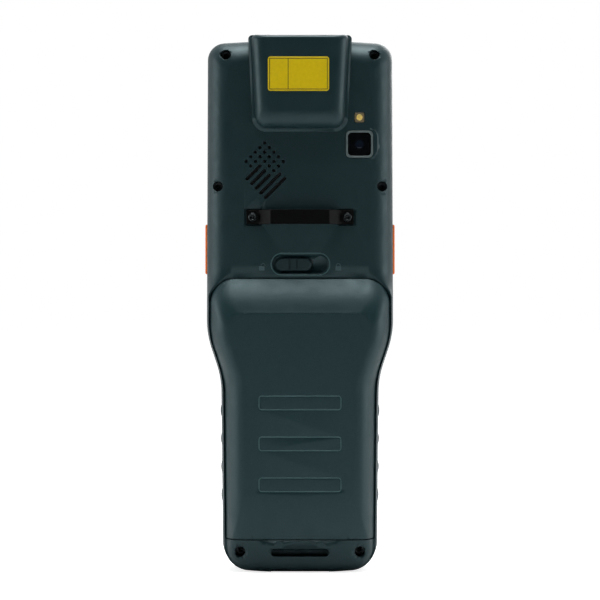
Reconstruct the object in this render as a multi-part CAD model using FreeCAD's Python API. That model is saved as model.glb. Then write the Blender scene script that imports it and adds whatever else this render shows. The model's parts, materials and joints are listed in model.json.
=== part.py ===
import FreeCAD, Part
import math
import os
from FreeCAD import Vector

os.makedirs("parts", exist_ok=True)

# A handheld barcode data terminal that stands upright on its bottom end.
# +Z runs along its length and +X across its width, as seen from the back.
# The back faces -Y, and the display and the keys face +Y.
# Every size is in millimetres, and the origin is under the middle of the bottom end.

# Case outline, as seen from the back
# Places along the case keep their share of its length, by way of STRETCH.
GRIP_HALF_WIDTH = 28.65
HEAD_STEP = 5.2
HEAD_HALF_WIDTH = GRIP_HALF_WIDTH + HEAD_STEP
CASE_LENGTH = 192.1
STRETCH = CASE_LENGTH / 192.1
FOOT_TAPER = 0.55
NECK_BOTTOM_Z = 69.5 * STRETCH
NECK_TOP_Z = 85.2 * STRETCH
NECK_BLEND = 5.3
FOOT_CORNER_R = 10.3
FOOT_CORNER_RISE = 1.13
FOOT_FLAT_HALF = 12.0
HEAD_CORNER_R = 6.3
HEAD_DROP = 1.2
HEAD_FLAT_HALF = 14.0
HEAD_TAPER = 0.3
SHOULDER_BOTTOM_Z = 100.5 * STRETCH
SHOULDER_TOP_Z = 108.5 * STRETCH

# Case depth, as seen from the side
PARTING_Y = 3.0
BACK_Y = -7.0
HUMP_Y = -14.5
FRONT_Y = 14.5
BACK_ROUND = 9.0
GRIP_STRIP_INSET = 0.9
GRIP_ROUND = 9.2
FRONT_ROUND = 3.2
REAR_WALL = 1.8
FRONT_WALL = 2.0
FIT = 0.15
REACH = CASE_LENGTH
END_Z = CASE_LENGTH + REACH
LAYERS = 7

# Battery bay and its cover
SEAM_BOTTOM_Z = 12.1
SEAM_TOP_Z = 105.6 * STRETCH
SEAM_GAP = 0.35
COVER_WALL = 1.5
COVER_CORNER_R = 9.0
COVER_CORNER_LOSS = 4.2
HUMP_BEND_LOSS = 0.25
COVER_LIP = 1.4
COVER_BASE_CURVE = 28.0
FOOT_STEP = 0.05
COVER_SLOPE = 1.322
COVER_SLOPE_END = 12.6
EDGE_SINK = 1.3
END_WALL_DEPTH = 3.2
END_WALL_SIDE = 0.5
END_WEB_SIDE = 1.3
END_WEB_RISE = 0.2
PANEL_LINE_HALF = 14.8
PANEL_LINE_HEIGHT = 5.25
PANEL_LINE_WIDTH = 0.4
PANEL_LINE_DEPTH = 0.15
PANEL_LINE_Z = (61.1 * STRETCH, 46.5 * STRETCH, 31.9 * STRETCH)
BAY_SIDE = 4.75
BAY_END = 3.1
BAY_CORNER_R = 0.8
BAY_FLOOR_Y = 1.0
BAY_FLOOR_WALL = 1.4
BATTERY_GAP = 0.6
BATTERY_SINK = 2.9
BATTERY_EDGE_R = 4.5
SEAL_WIDTH = 0.8
SEAL_HEIGHT = 0.9
HOOK_X = 16.0
HOOK_WIDTH = 6.0
HOOK_DEPTH = 0.8
HOOK_SINK = 1.6
HOOK_THICK = 1.2
HOOK_ROOM = 0.3
CATCH_X = 3.2
CATCH_WIDTH = 4.0
CATCH_DROP = 4.4
CATCH_SINK = 3.9
CATCH_THICK = 1.2
CATCH_ARM = 1.4
CATCH_LIP = 1.7
BATTERY_TOP_GAP = 4.0
CONTACTS_X = (-16.0, -6.0)
CONTACTS_Y = -5.0
BLADE_X = (-15.0, -12.5, -10.0, -7.5)
BLADE_WIDTH = 1.0
BLADE_REACH = 1.2

# Latch
LATCH_X = 0.15
LATCH_RISE = 5.1
LATCH_LENGTH = 19.5
LATCH_HEIGHT = 6.2
LATCH_RIM = 0.7
LATCH_DEPTH = 1.7
LATCH_FLOOR = 1.5
KNOB_LENGTH = 13.1
KNOB_HEIGHT = 4.5
LATCH_END_GAP = 0.78
STEM_HALF = 1.8
STEM_HEIGHT = 2.4
KNOB_BASE = 0.8
KNOB_EDGE = 0.4
KNOB_GROOVE = (-1.85, 1.5)
KNOB_RIB = (-1.25, 0.85)
KNOB_RIB_SINK = 0.35
KNOB_RIB_HEIGHT = 3.6
LATCH_BOSS_HALF = 12.5
LATCH_BOSS_TOP = 5.8
TONGUE_WIDTH = 6.0
TONGUE_THICK = 1.2
TONGUE_DROP = 5.6
TONGUE_TOP = 3.0
RUN_GAP = 0.2

# Scanner hump
SCAN_HALF_TOP = 18.7
SCAN_HALF_BOTTOM = 17.0
SCAN_BOTTOM_Z = 158.4 * STRETCH
SCAN_OVERHANG = 1.0
SCAN_CORNER_R = 5.0
SCAN_TOP_R = 1.5
SCAN_SINK = 1.5
SCAN_FLANGE = 0.5
SCAN_FLANGE_WIDTH = 1.1
SCAN_SIDE_ROUND = 4.6
SCAN_FOOT_ROUND = 6.2
SCAN_WALL = 1.6
NOSE_LENGTH = 10.6
SCAN_PORT_WIDTH = 26.0
SCAN_PORT_RISE = 7.1
WINDOW_HALF = 11.0
WINDOW_DEPTH = 3.5
WINDOW_SINK = 2.2
WINDOW_THICK = 1.2
WINDOW_INSET = 0.3
LABEL_X = -0.55
LABEL_DROP = 14.45
LABEL_WIDTH = 21.9
LABEL_HEIGHT = 12.3
LABEL_THICK = 0.2
ENGINE_WIDTH = 21.6
ENGINE_LENGTH = 14.0
ENGINE_DEPTH = 7.4
ENGINE_DROP = 5.1
ENGINE_GAP = 0.2
LENSES = ((-5.5, 2.6), (5.0, 1.8))
LENS_PROUD = 1.2
BRACKET_HALF = 12.6
BRACKET_SHEET = 0.8
BRACKET_LEG = 1.0
BRACKET_FOOT = 3.0
BRACKET_LEG_TOP = 4.0

# Camera, flash and speaker
CAMERA_SIDE = 12.45
CAMERA_Z = 153.9 * STRETCH
CAMERA_GLASS = 8.4
CAMERA_RIM = 9.7
CAMERA_RIM_HEIGHT = 0.25
CAMERA_BARREL_R = 2.9
CAMERA_BODY = 8.5
CAMERA_BODY_Y = 0.8
PLATEAU_HALF = 5.6
PLATEAU_SIDE = 6.05
PLATEAU_SHIFT = 0.4
PLATEAU_DEPTH = 3.0
FLASH_RISE = 9.6
FLASH_SIZE = 3.5
FLASH_LED = 2.4
GRILLE_SIDE = 21.15
GRILLE_Z = 154.4 * STRETCH
GRILLE_STEP = 1.667
GRILLE_DOT = 1.2
SPEAKER_SIZE = 22.0
SPEAKER_DEPTH = 4.2
SPEAKER_Z = 144.6 * STRETCH
MAGNET_R = 7.0
MAGNET_DEPTH = 1.4
CONE_R = 8.0
CONE_DEPTH = 0.8
MESH_THICK = 0.2

# Strap bracket
STRAP_Z = 127.6 * STRETCH
STRAP_HEIGHT = 5.25
STRAP_HALF = 19.3
STRAP_TAB_X = 14.4
STRAP_BAR_X = 10.0
STRAP_SHEET = 1.2
STRAP_GAP = 4.4
STRAP_POCKET = 0.6
STRAP_SCREW_X = 17.0
STRAP_SCREW_HEAD_R = 1.55
STRAP_SCREW_HEAD = 0.9
STRAP_SCREW_R = 1.0
STRAP_SCREW_END_Y = -2.4
STRAP_BOSS_R = 2.4
STRAP_BOSS_Y = -1.5
STRAP_PAD_MARGIN = 1.0
STRAP_PAD_HALF_HEIGHT = 4.0
STRAP_PAD_THICK = 0.6
STRAP_POCKET_GAP = 0.7

# Wrist-strap tunnel through the foot
TUNNEL_HALF = 10.4
TUNNEL_Z = 7.4
TUNNEL_HEIGHT = 2.8
TUNNEL_INNER_Y = -6.0
TUNNEL_REST_DEPTH = 0.3
TUNNEL_REST_Z = 2.8
CHIN_FACE_DEPTH = 3.6

# Case screws
CASE_SCREWS = ((HEAD_HALF_WIDTH - 7.1, CASE_LENGTH - 5.9, 0.2),
               (HEAD_HALF_WIDTH - 4.25, 138.8 * STRETCH, 0.2),
               (GRIP_HALF_WIDTH - 7.25, 7.8, -3.0))
COUNTERBORE_R = 1.85
SCREW_HEAD_R = 1.7
SCREW_HEAD = 1.6
SCREW_R = 1.0
SCREW_BITE = 6.0
SCREW_DRIVE_R = 0.7
SCREW_DRIVE_DEPTH = 0.8
BOSS_R = 2.9
BOSS_FLOOR = 3.5
FRONT_BOSS_R = 2.3
SEAL_INSET = 0.75
SEAL_THICK = 0.6

# Display stack
GLASS_SIDE = 4.6
GLASS_LOW_Z = 89.1 * STRETCH
GLASS_HIGH_Z = CASE_LENGTH - 4.0
GLASS_THICK = 1.2
GLASS_SINK = 0.3
GLASS_CORNER_R = 3.5
DISPLAY_SIDE = 2.75
DISPLAY_LOW = 3.5
DISPLAY_HIGH = 7.5
DISPLAY_THICK = 2.9
SHELF_THICK = 1.4
CHASSIS_SIDE = 4.05
CHASSIS_THICK = 1.0
CHASSIS_Z = (90.5 * STRETCH, CASE_LENGTH - 4.6)
CHASSIS_PEG_R = 1.4
CHASSIS_PEG_SIDE = 1.5
CHASSIS_TRIGGER_ROOM = 4.0
EARPIECE_DROP = 3.5
EARPIECE_LENGTH = 11.6
EARPIECE_HEIGHT = 1.4

# Boards
BOARD_THICK = 1.2
MAIN_BOARD_SIDE = 5.25
MAIN_BOARD_Z = (107.5 * STRETCH, CASE_LENGTH - 5.1)
MAIN_BOARD_Y = 5.2
STANDOFF_R = 2.0
STANDOFF_SIDE = 9.85
CAN_HEIGHT = 1.8
CANS = ((-20.0, 172.0, 12.0, 20.0), (0.0, 143.0, 20.0, 24.0), (-2.0, 117.0, 36.0, 12.0))
KEY_BOARD_SIDE = 4.65
KEY_BOARD_Z = (3.5, 87.5 * STRETCH)
KEY_BOARD_THICK = 1.0
KEY_BOARD_CORNER_R = 9.0
USB_WIDTH = 9.0
USB_HEIGHT = 3.2
USB_LENGTH = 7.4
USB_TOP_GAP = 0.1
FLAP_HALF = 7.5
FLAP_BACK_Y = 3.7
FLAP_FRONT_Y = 9.9
FLAP_THICK = 1.1
FLAP_SINK = 0.1
DOCK_PAD_R = 1.0
DOCK_PITCH = 4.0
DOCK_Y = -1.5

# Keypad
PANEL_SIDE = 4.05
PANEL_Z = (11.5, 87.0 * STRETCH)
PANEL_SINK = 1.2
PANEL_THICK = 2.0
KEY_PITCH_Z = 14.0 * STRETCH
KEY_SPACE = 2.0
KEY_HEIGHT = 10.0
KEY_CORNER_R = 2.5
KEY_FIRST_Z = 22.0 * STRETCH
KEY_RISE = 1.0
KEY_GAP = 0.25
KEY_FLANGE = 0.6
KEY_FLANGE_THICK = 0.7
KEY_TRAVEL = 0.8
SCAN_KEY_Z = 78.6 * STRETCH
SCAN_KEY_SPACE = 2.3
SCAN_KEY_HEIGHT = 11.0
SIDE_KEY_SHIFT = 0.1
SIDE_KEY_HEIGHT = 8.0
MAT_THICK = 0.7
DOME_R = 3.0
DOME_HEIGHT = 0.5

# Side triggers and grips
TRIGGER_LOW_Z = 107.2 * STRETCH
TRIGGER_HIGH_Z = 125.3 * STRETCH
TRIGGER_PROUD = 0.75
TRIGGER_Y = 7.2
TRIGGER_DEPTH = 5.6
TRIGGER_FLANGE = 0.8
TRIGGER_TRAVEL = 0.8
SWITCH_LENGTH = 8.0
SWITCH_DEPTH = 2.4
GRIP_Z = (21.0 * STRETCH, 63.6 * STRETCH)
GRIP_Y = (3.7, 9.9)
GRIP_THICK = 1.0
RIB_FIRST_Z = 27.0 * STRETCH
RIB_PITCH = 10.2 * STRETCH
RIB_LENGTH = 4.7
RIB_HEIGHT = 0.38
RIBS = 4

# Places that follow from the sizes above
FOOT_HALF_WIDTH = GRIP_HALF_WIDTH - FOOT_TAPER
SCAN_Y = HUMP_Y + SCAN_SINK
SCAN_TOP_Z = CASE_LENGTH + SCAN_OVERHANG
NOSE_Z = SCAN_TOP_Z - NOSE_LENGTH
LABEL_Z = SCAN_TOP_Z - LABEL_DROP
ENGINE_TOP_Z = SCAN_TOP_Z - ENGINE_DROP
WINDOW_FRONT_Y = BACK_Y + WINDOW_DEPTH
WINDOW_BACK_Y = SCAN_Y + WINDOW_SINK
CAMERA_X = HEAD_HALF_WIDTH - CAMERA_SIDE
GRILLE_X = GRILLE_SIDE - HEAD_HALF_WIDTH
PLATEAU_EDGE_X = HEAD_HALF_WIDTH - PLATEAU_SIDE
FLASH_Z = CAMERA_Z + FLASH_RISE
BAY_HALF_WIDTH = GRIP_HALF_WIDTH - BAY_SIDE
BATTERY_BACK_Y = HUMP_Y + BATTERY_SINK
CHIN_FACE_Y = BACK_Y - CHIN_FACE_DEPTH
EDGE_Y = HUMP_Y + EDGE_SINK
HOOK_BACK_Y = EDGE_Y + HOOK_SINK
HOOK_FRONT_Y = HOOK_BACK_Y + HOOK_THICK
COVER_SLOPE_END_Z = SEAM_TOP_Z - COVER_SLOPE_END
CATCH_TIP_Z = SEAM_TOP_Z - CATCH_DROP
LATCH_Z = SEAM_TOP_Z + LATCH_RISE
TONGUE_TIP_Z = SEAM_TOP_Z - TONGUE_DROP
GLASS_WIDTH = 2 * (HEAD_HALF_WIDTH - GLASS_SIDE)
GLASS_LENGTH = GLASS_HIGH_Z - GLASS_LOW_Z
GLASS_Z = (GLASS_LOW_Z + GLASS_HIGH_Z) / 2
DISPLAY_WIDTH = GLASS_WIDTH - 2 * DISPLAY_SIDE
DISPLAY_LENGTH = GLASS_LENGTH - DISPLAY_LOW - DISPLAY_HIGH
DISPLAY_Z = GLASS_Z + (DISPLAY_LOW - DISPLAY_HIGH) / 2
EARPIECE_Z = GLASS_HIGH_Z - EARPIECE_DROP
CHASSIS_HALF = HEAD_HALF_WIDTH - CHASSIS_SIDE
MAIN_BOARD_HALF = HEAD_HALF_WIDTH - MAIN_BOARD_SIDE
KEY_BOARD_HALF = GRIP_HALF_WIDTH - KEY_BOARD_SIDE
PANEL_HALF = GRIP_HALF_WIDTH - PANEL_SIDE
KEY_PITCH_X = PANEL_HALF / 2 - SIDE_KEY_SHIFT
KEY_WIDTH = KEY_PITCH_X - KEY_SPACE
SIDE_KEY_X = 1.5 * KEY_PITCH_X + SIDE_KEY_SHIFT
SCAN_KEY_WIDTH = 2 * SIDE_KEY_X - KEY_WIDTH - 2 * SCAN_KEY_SPACE
PANEL_Y = FRONT_Y - PANEL_SINK
PANEL_BACK_Y = PANEL_Y - PANEL_THICK
KEY_TOP_Y = PANEL_Y + KEY_RISE
KEY_FLANGE_Y = PANEL_BACK_Y - 0.1
KEY_BOTTOM_Y = KEY_FLANGE_Y - KEY_FLANGE_THICK
MAT_TOP_Y = KEY_BOTTOM_Y - KEY_TRAVEL - 0.1
MAT_Y = MAT_TOP_Y - MAT_THICK
KEY_BOARD_TOP_Y = MAT_Y - DOME_HEIGHT
KEY_BOARD_Y = KEY_BOARD_TOP_Y - KEY_BOARD_THICK
GLASS_TOP_Y = FRONT_Y - GLASS_SINK
GLASS_Y = GLASS_TOP_Y - GLASS_THICK
SHELF_Y = GLASS_Y - SHELF_THICK
DISPLAY_Y = GLASS_Y - DISPLAY_THICK
CHASSIS_TOP_Y = DISPLAY_Y - 0.1
CHASSIS_Y = CHASSIS_TOP_Y - CHASSIS_THICK
BOARD_TOP_Y = MAIN_BOARD_Y + BOARD_THICK
INNER_BACK_Y = BACK_Y + REAR_WALL
COVER_REBATE_Y = BACK_Y + COVER_LIP
BAY_LOW_Z = SEAM_BOTTOM_Z + BAY_END
BAY_HIGH_Z = SEAM_TOP_Z - BAY_END
BATTERY_TOP_Z = CATCH_TIP_Z - CATCH_LIP - CATCH_ARM - BATTERY_TOP_GAP
LATCH_FLOOR_Y = BACK_Y + LATCH_DEPTH
LATCH_INNER_Y = LATCH_FLOOR_Y + LATCH_FLOOR
LATCH_TRAVEL = LATCH_LENGTH - KNOB_LENGTH - 2 * LATCH_END_GAP
KNOB_X = LATCH_X - LATCH_TRAVEL / 2
TONGUE_Y = LATCH_INNER_Y + RUN_GAP
STRAP_FLOOR_Y = BACK_Y + STRAP_POCKET
CAVITY_LOW_Z = SEAM_TOP_Z + 0.6
SCAN_SEAT_Y = BACK_Y - SCAN_FLANGE


# Small builders

def box(x0, x1, y0, y1, z0, z1):
    """A block between two corners."""
    return Part.makeBox(x1 - x0, y1 - y0, z1 - z0, Vector(x0, y0, z0))


def across(z0, z1):
    """A block that takes in the whole case between two heights."""
    return box(-REACH, REACH, -REACH, REACH, z0, z1)


def rod_y(x, z, radius, y0, y1):
    """A round bar along the depth of the case."""
    return Part.makeCylinder(radius, y1 - y0, Vector(x, y0, z), Vector(0, 1, 0))


def outline(corners, y):
    """A closed outline at depth y, with an arc at each corner.

    A corner is (x, z, kind, size), where size is a radius, or a tangent length for a gentle bend.
    """
    points = [Vector(c[0], y, c[1]) for c in corners]
    bends = []
    for i, (x, z, kind, size) in enumerate(corners):
        after = points[(i + 1) % len(points)]
        arrive = (points[i] - points[i - 1]).normalize()
        leave = (after - points[i]).normalize()
        turn = arrive.getAngle(leave)
        tangent = size if kind == "tangent" else size * math.tan(turn / 2)
        if turn < 1e-6:
            bends.append((points[i] - arrive * size, points[i], points[i] + leave * size))
            continue
        inward = (leave - arrive).normalize()
        radius = tangent / math.tan(turn / 2)
        centre = points[i] + inward * (radius / math.cos(turn / 2))
        start = points[i] - arrive * tangent
        bends.append((start, centre - inward * radius, points[i] + leave * tangent))
    edges = []
    for i, (start, middle, end) in enumerate(bends):
        if (middle - (start + end) * 0.5).Length < 1e-7:
            edges.append(Part.LineSegment(start, end).toShape())
        else:
            edges.append(Part.Arc(start, middle, end).toShape())
        edges.append(Part.LineSegment(end, bends[(i + 1) % len(bends)][0]).toShape())
    return Part.Wire(edges)


def slab(corners, y0, y1):
    """An outline pushed along the depth from y0 to y1."""
    return Part.Face(outline(corners, y0)).extrude(Vector(0, y1 - y0, 0))


def pad_corners(x, z, width, height, radius):
    """The corners of a rounded rectangle."""
    w = width / 2
    h = height / 2
    r = min(radius, w - 0.01, h - 0.01)
    return [(x + w, z - h, "round", r), (x + w, z + h, "round", r),
            (x - w, z + h, "round", r), (x - w, z - h, "round", r)]


def pad(x, z, width, height, radius, y0, y1):
    """A plate with rounded corners."""
    return slab(pad_corners(x, z, width, height, radius), y0, y1)


def mirrored(right):
    """A full outline from the corners of its right half, listed upwards."""
    return right + [(-x, z, kind, size) for x, z, kind, size in reversed(right)]


def fused(first, *others):
    """One solid from touching solids."""
    return first.fuse(list(others)).removeSplitter()


def cut(first, *others):
    """A solid with others taken away."""
    return first.cut(list(others))


def flip(shape):
    """The mirror image on the other side of the middle."""
    return shape.mirror(Vector(0, 0, 0), Vector(1, 0, 0))


def save(name, *shapes):
    """Write one sub-part, which may be a group of separate solids."""
    solids = [solid for shape in shapes for solid in shape.Solids]
    group = solids[0] if len(solids) == 1 else Part.makeCompound(solids)
    group.exportStep("parts/" + name + ".step")


# Outlines of the case

def case_corners(grip=0.0, head=0.0, top=0.0, bottom=0.0):
    """The case outline, moved inwards by a separate amount along each stretch."""
    return mirrored([
        (FOOT_FLAT_HALF, bottom, "tangent", 4.0),
        (FOOT_HALF_WIDTH - grip, FOOT_CORNER_RISE + bottom, "round", FOOT_CORNER_R - grip),
        (GRIP_HALF_WIDTH - grip, NECK_BOTTOM_Z, "tangent", NECK_BLEND),
        (HEAD_HALF_WIDTH - grip, NECK_TOP_Z, "tangent", NECK_BLEND),
        (HEAD_HALF_WIDTH - grip, SHOULDER_BOTTOM_Z, "tangent", 2.0),
        (HEAD_HALF_WIDTH - head, SHOULDER_TOP_Z, "tangent", 2.0),
        (HEAD_HALF_WIDTH - HEAD_TAPER - head, CASE_LENGTH - HEAD_DROP - top, "round",
         HEAD_CORNER_R - 0.4 * head),
        (HEAD_FLAT_HALF, CASE_LENGTH - top, "tangent", 4.0)])


def rear_shell(wall):
    """The rear half of the case, with its edges rounded, moved inwards by a wall."""
    depth = PARTING_Y - BACK_Y - wall
    layers = []
    for k in range(LAYERS):
        turn = math.radians(90.0 * k / (LAYERS - 1))
        sink = math.sin(turn)
        round_over = wall + (BACK_ROUND - wall) * (1 - math.cos(turn))
        strip = wall + GRIP_STRIP_INSET * sink ** 2
        corners = case_corners(strip, round_over, round_over, wall)
        layers.append(outline(corners, PARTING_Y - depth * sink))
    return Part.makeLoft(layers, True, False)


def front_shell():
    """The front half of the case: straight sides, then a rounded front edge."""
    base = slab(case_corners(), PARTING_Y, FRONT_Y - FRONT_ROUND)
    layers = []
    for k in range(LAYERS):
        turn = math.radians(90.0 * k / (LAYERS - 1))
        inset = FRONT_ROUND * (1 - math.cos(turn))
        y = FRONT_Y - FRONT_ROUND + FRONT_ROUND * math.sin(turn)
        layers.append(outline(case_corners(inset, inset, inset, inset), y))
    return fused(base, Part.makeLoft(layers, True, False))


def hump_corners(side, top, bottom, corner):
    """The outline of the battery hump, from the foot to the top seam."""
    blend = NECK_BLEND - HUMP_BEND_LOSS * side
    return mirrored([
        (FOOT_FLAT_HALF - 0.6 * side, bottom, "tangent", blend - 1.0),
        (FOOT_HALF_WIDTH - side, FOOT_CORNER_RISE + bottom, "round", FOOT_CORNER_R - 0.6 * side),
        (GRIP_HALF_WIDTH - side, NECK_BOTTOM_Z - HUMP_BEND_LOSS * side, "tangent", blend),
        (HEAD_HALF_WIDTH - side, NECK_TOP_Z - HUMP_BEND_LOSS * side, "tangent", blend),
        (HEAD_HALF_WIDTH - side, top, "round", corner)])


def hump_layer(turn, wall):
    """One layer of the hump: depth, side inset, top edge, foot edge and corner radius."""
    whole_depth = PARTING_Y - HUMP_Y
    y = PARTING_Y - whole_depth * math.sin(turn)
    share = (BACK_Y - y) / (BACK_Y - HUMP_Y)
    side = GRIP_ROUND * (1 - math.cos(turn))
    slope = SEAM_TOP_Z - SEAM_GAP / 2 - COVER_SLOPE * (BACK_Y - y)
    ease = share ** 6
    top = slope * (1 - ease) + COVER_SLOPE_END_Z * ease
    foot = FOOT_STEP + COVER_BASE_CURVE * (1 - math.sqrt(max(0.0, 1 - share ** 2)))
    corner = COVER_CORNER_R - COVER_CORNER_LOSS * share
    inner_y = BACK_Y - (BACK_Y - y) * (BACK_Y - HUMP_Y - wall) / (BACK_Y - HUMP_Y)
    return inner_y, side + wall, top - wall, foot + wall, corner - wall


def hump(wall):
    """The rounded hump over the battery bay, moved inwards by a wall."""
    start = math.asin((PARTING_Y - BACK_Y) / (PARTING_Y - HUMP_Y))
    layers = []
    for k in range(LAYERS + 1):
        turn = start + (math.pi / 2 - start) * k / LAYERS
        y, side, top, foot, corner = hump_layer(turn, wall)
        layers.append(outline(hump_corners(side, top, foot, corner), y))
    return Part.makeLoft(layers, True, False)


def hump_base(wall, y0, y1):
    """A straight slab under the hump, with the hump's own outline."""
    start = math.asin((PARTING_Y - BACK_Y) / (PARTING_Y - HUMP_Y))
    y, side, top, foot, corner = hump_layer(start, wall)
    return slab(hump_corners(side, top, foot, corner), y0, y1)


def scan_corners(side, top, foot):
    """The outline of the scanner hump, a little narrower at its foot."""
    return [(SCAN_HALF_BOTTOM - side, SCAN_BOTTOM_Z + foot, "round", SCAN_CORNER_R - 0.5 * side),
            (SCAN_HALF_TOP - side, SCAN_TOP_Z - top, "round", SCAN_TOP_R),
            (side - SCAN_HALF_TOP, SCAN_TOP_Z - top, "round", SCAN_TOP_R),
            (side - SCAN_HALF_BOTTOM, SCAN_BOTTOM_Z + foot, "round", SCAN_CORNER_R - 0.5 * side)]


def scan_hump(wall):
    """The raised scanner hump, moved inwards by a wall."""
    layers = []
    for k in range(LAYERS):
        turn = math.radians(90.0 * k / (LAYERS - 1))
        lean = 1 - math.cos(turn)
        y = SCAN_SEAT_Y - (SCAN_SEAT_Y - SCAN_Y - wall) * math.sin(turn)
        side = SCAN_FLANGE_WIDTH + wall + SCAN_SIDE_ROUND * lean
        foot = SCAN_FLANGE_WIDTH + wall + SCAN_FOOT_ROUND * lean
        layers.append(outline(scan_corners(side, wall + SCAN_TOP_R * lean, foot), y))
    return Part.makeLoft(layers, True, False)


# Rear housing

def screw_places():
    """Each case screw: x, z and the depth that its head seats on."""
    return [(side * x, z, seat) for x, z, seat in CASE_SCREWS for side in (1, -1)]


def grille_holes():
    """The speaker holes: dots in a slanted lattice, then slots along its lower edge."""
    def place(i, j):
        return GRILLE_X + GRILLE_STEP * (i - j), GRILLE_Z - GRILLE_STEP * (i + j)

    dots = [(i, j) for i in range(5) for j in range(3)] + [(0, 3), (0, 4), (1, 3), (1, 4)]
    slots = [(2, 3.0), (3, 3.0), (4, 3.0), (5, 1.75), (6, 1.7)]
    holes = []
    for i, j in dots:
        x, z = place(i, j)
        holes.append(rod_y(x, z, GRILLE_DOT / 2, BACK_Y - 1, INNER_BACK_Y + 1))
    for i, j in slots:
        x0, z0 = place(i, j)
        x1, z1 = place(i, 5.8)
        length = math.hypot(x1 - x0, z1 - z0)
        slot = pad(0, 0, length + GRILLE_DOT, GRILLE_DOT, GRILLE_DOT / 2,
                   BACK_Y - 1, INNER_BACK_Y + 1)
        slot.rotate(Vector(0, 0, 0), Vector(0, 1, 0), -45)
        slot.translate(Vector((x0 + x1) / 2, 0, (z0 + z1) / 2))
        holes.append(slot)
    return holes


def latch_recess():
    """The stadium recess of the latch, with a bevelled rim."""
    rim = LATCH_HEIGHT + 2 * LATCH_RIM
    bevel = Part.makeLoft([
        outline(pad_corners(LATCH_X, LATCH_Z, LATCH_LENGTH + 2 * LATCH_RIM, rim, rim / 2), BACK_Y),
        outline(pad_corners(LATCH_X, LATCH_Z, LATCH_LENGTH, LATCH_HEIGHT, LATCH_HEIGHT / 2),
                BACK_Y + LATCH_RIM)], True, True)
    deep = pad(LATCH_X, LATCH_Z, LATCH_LENGTH, LATCH_HEIGHT, LATCH_HEIGHT / 2,
               BACK_Y + LATCH_RIM, LATCH_FLOOR_Y)
    return fused(bevel, deep)


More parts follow.
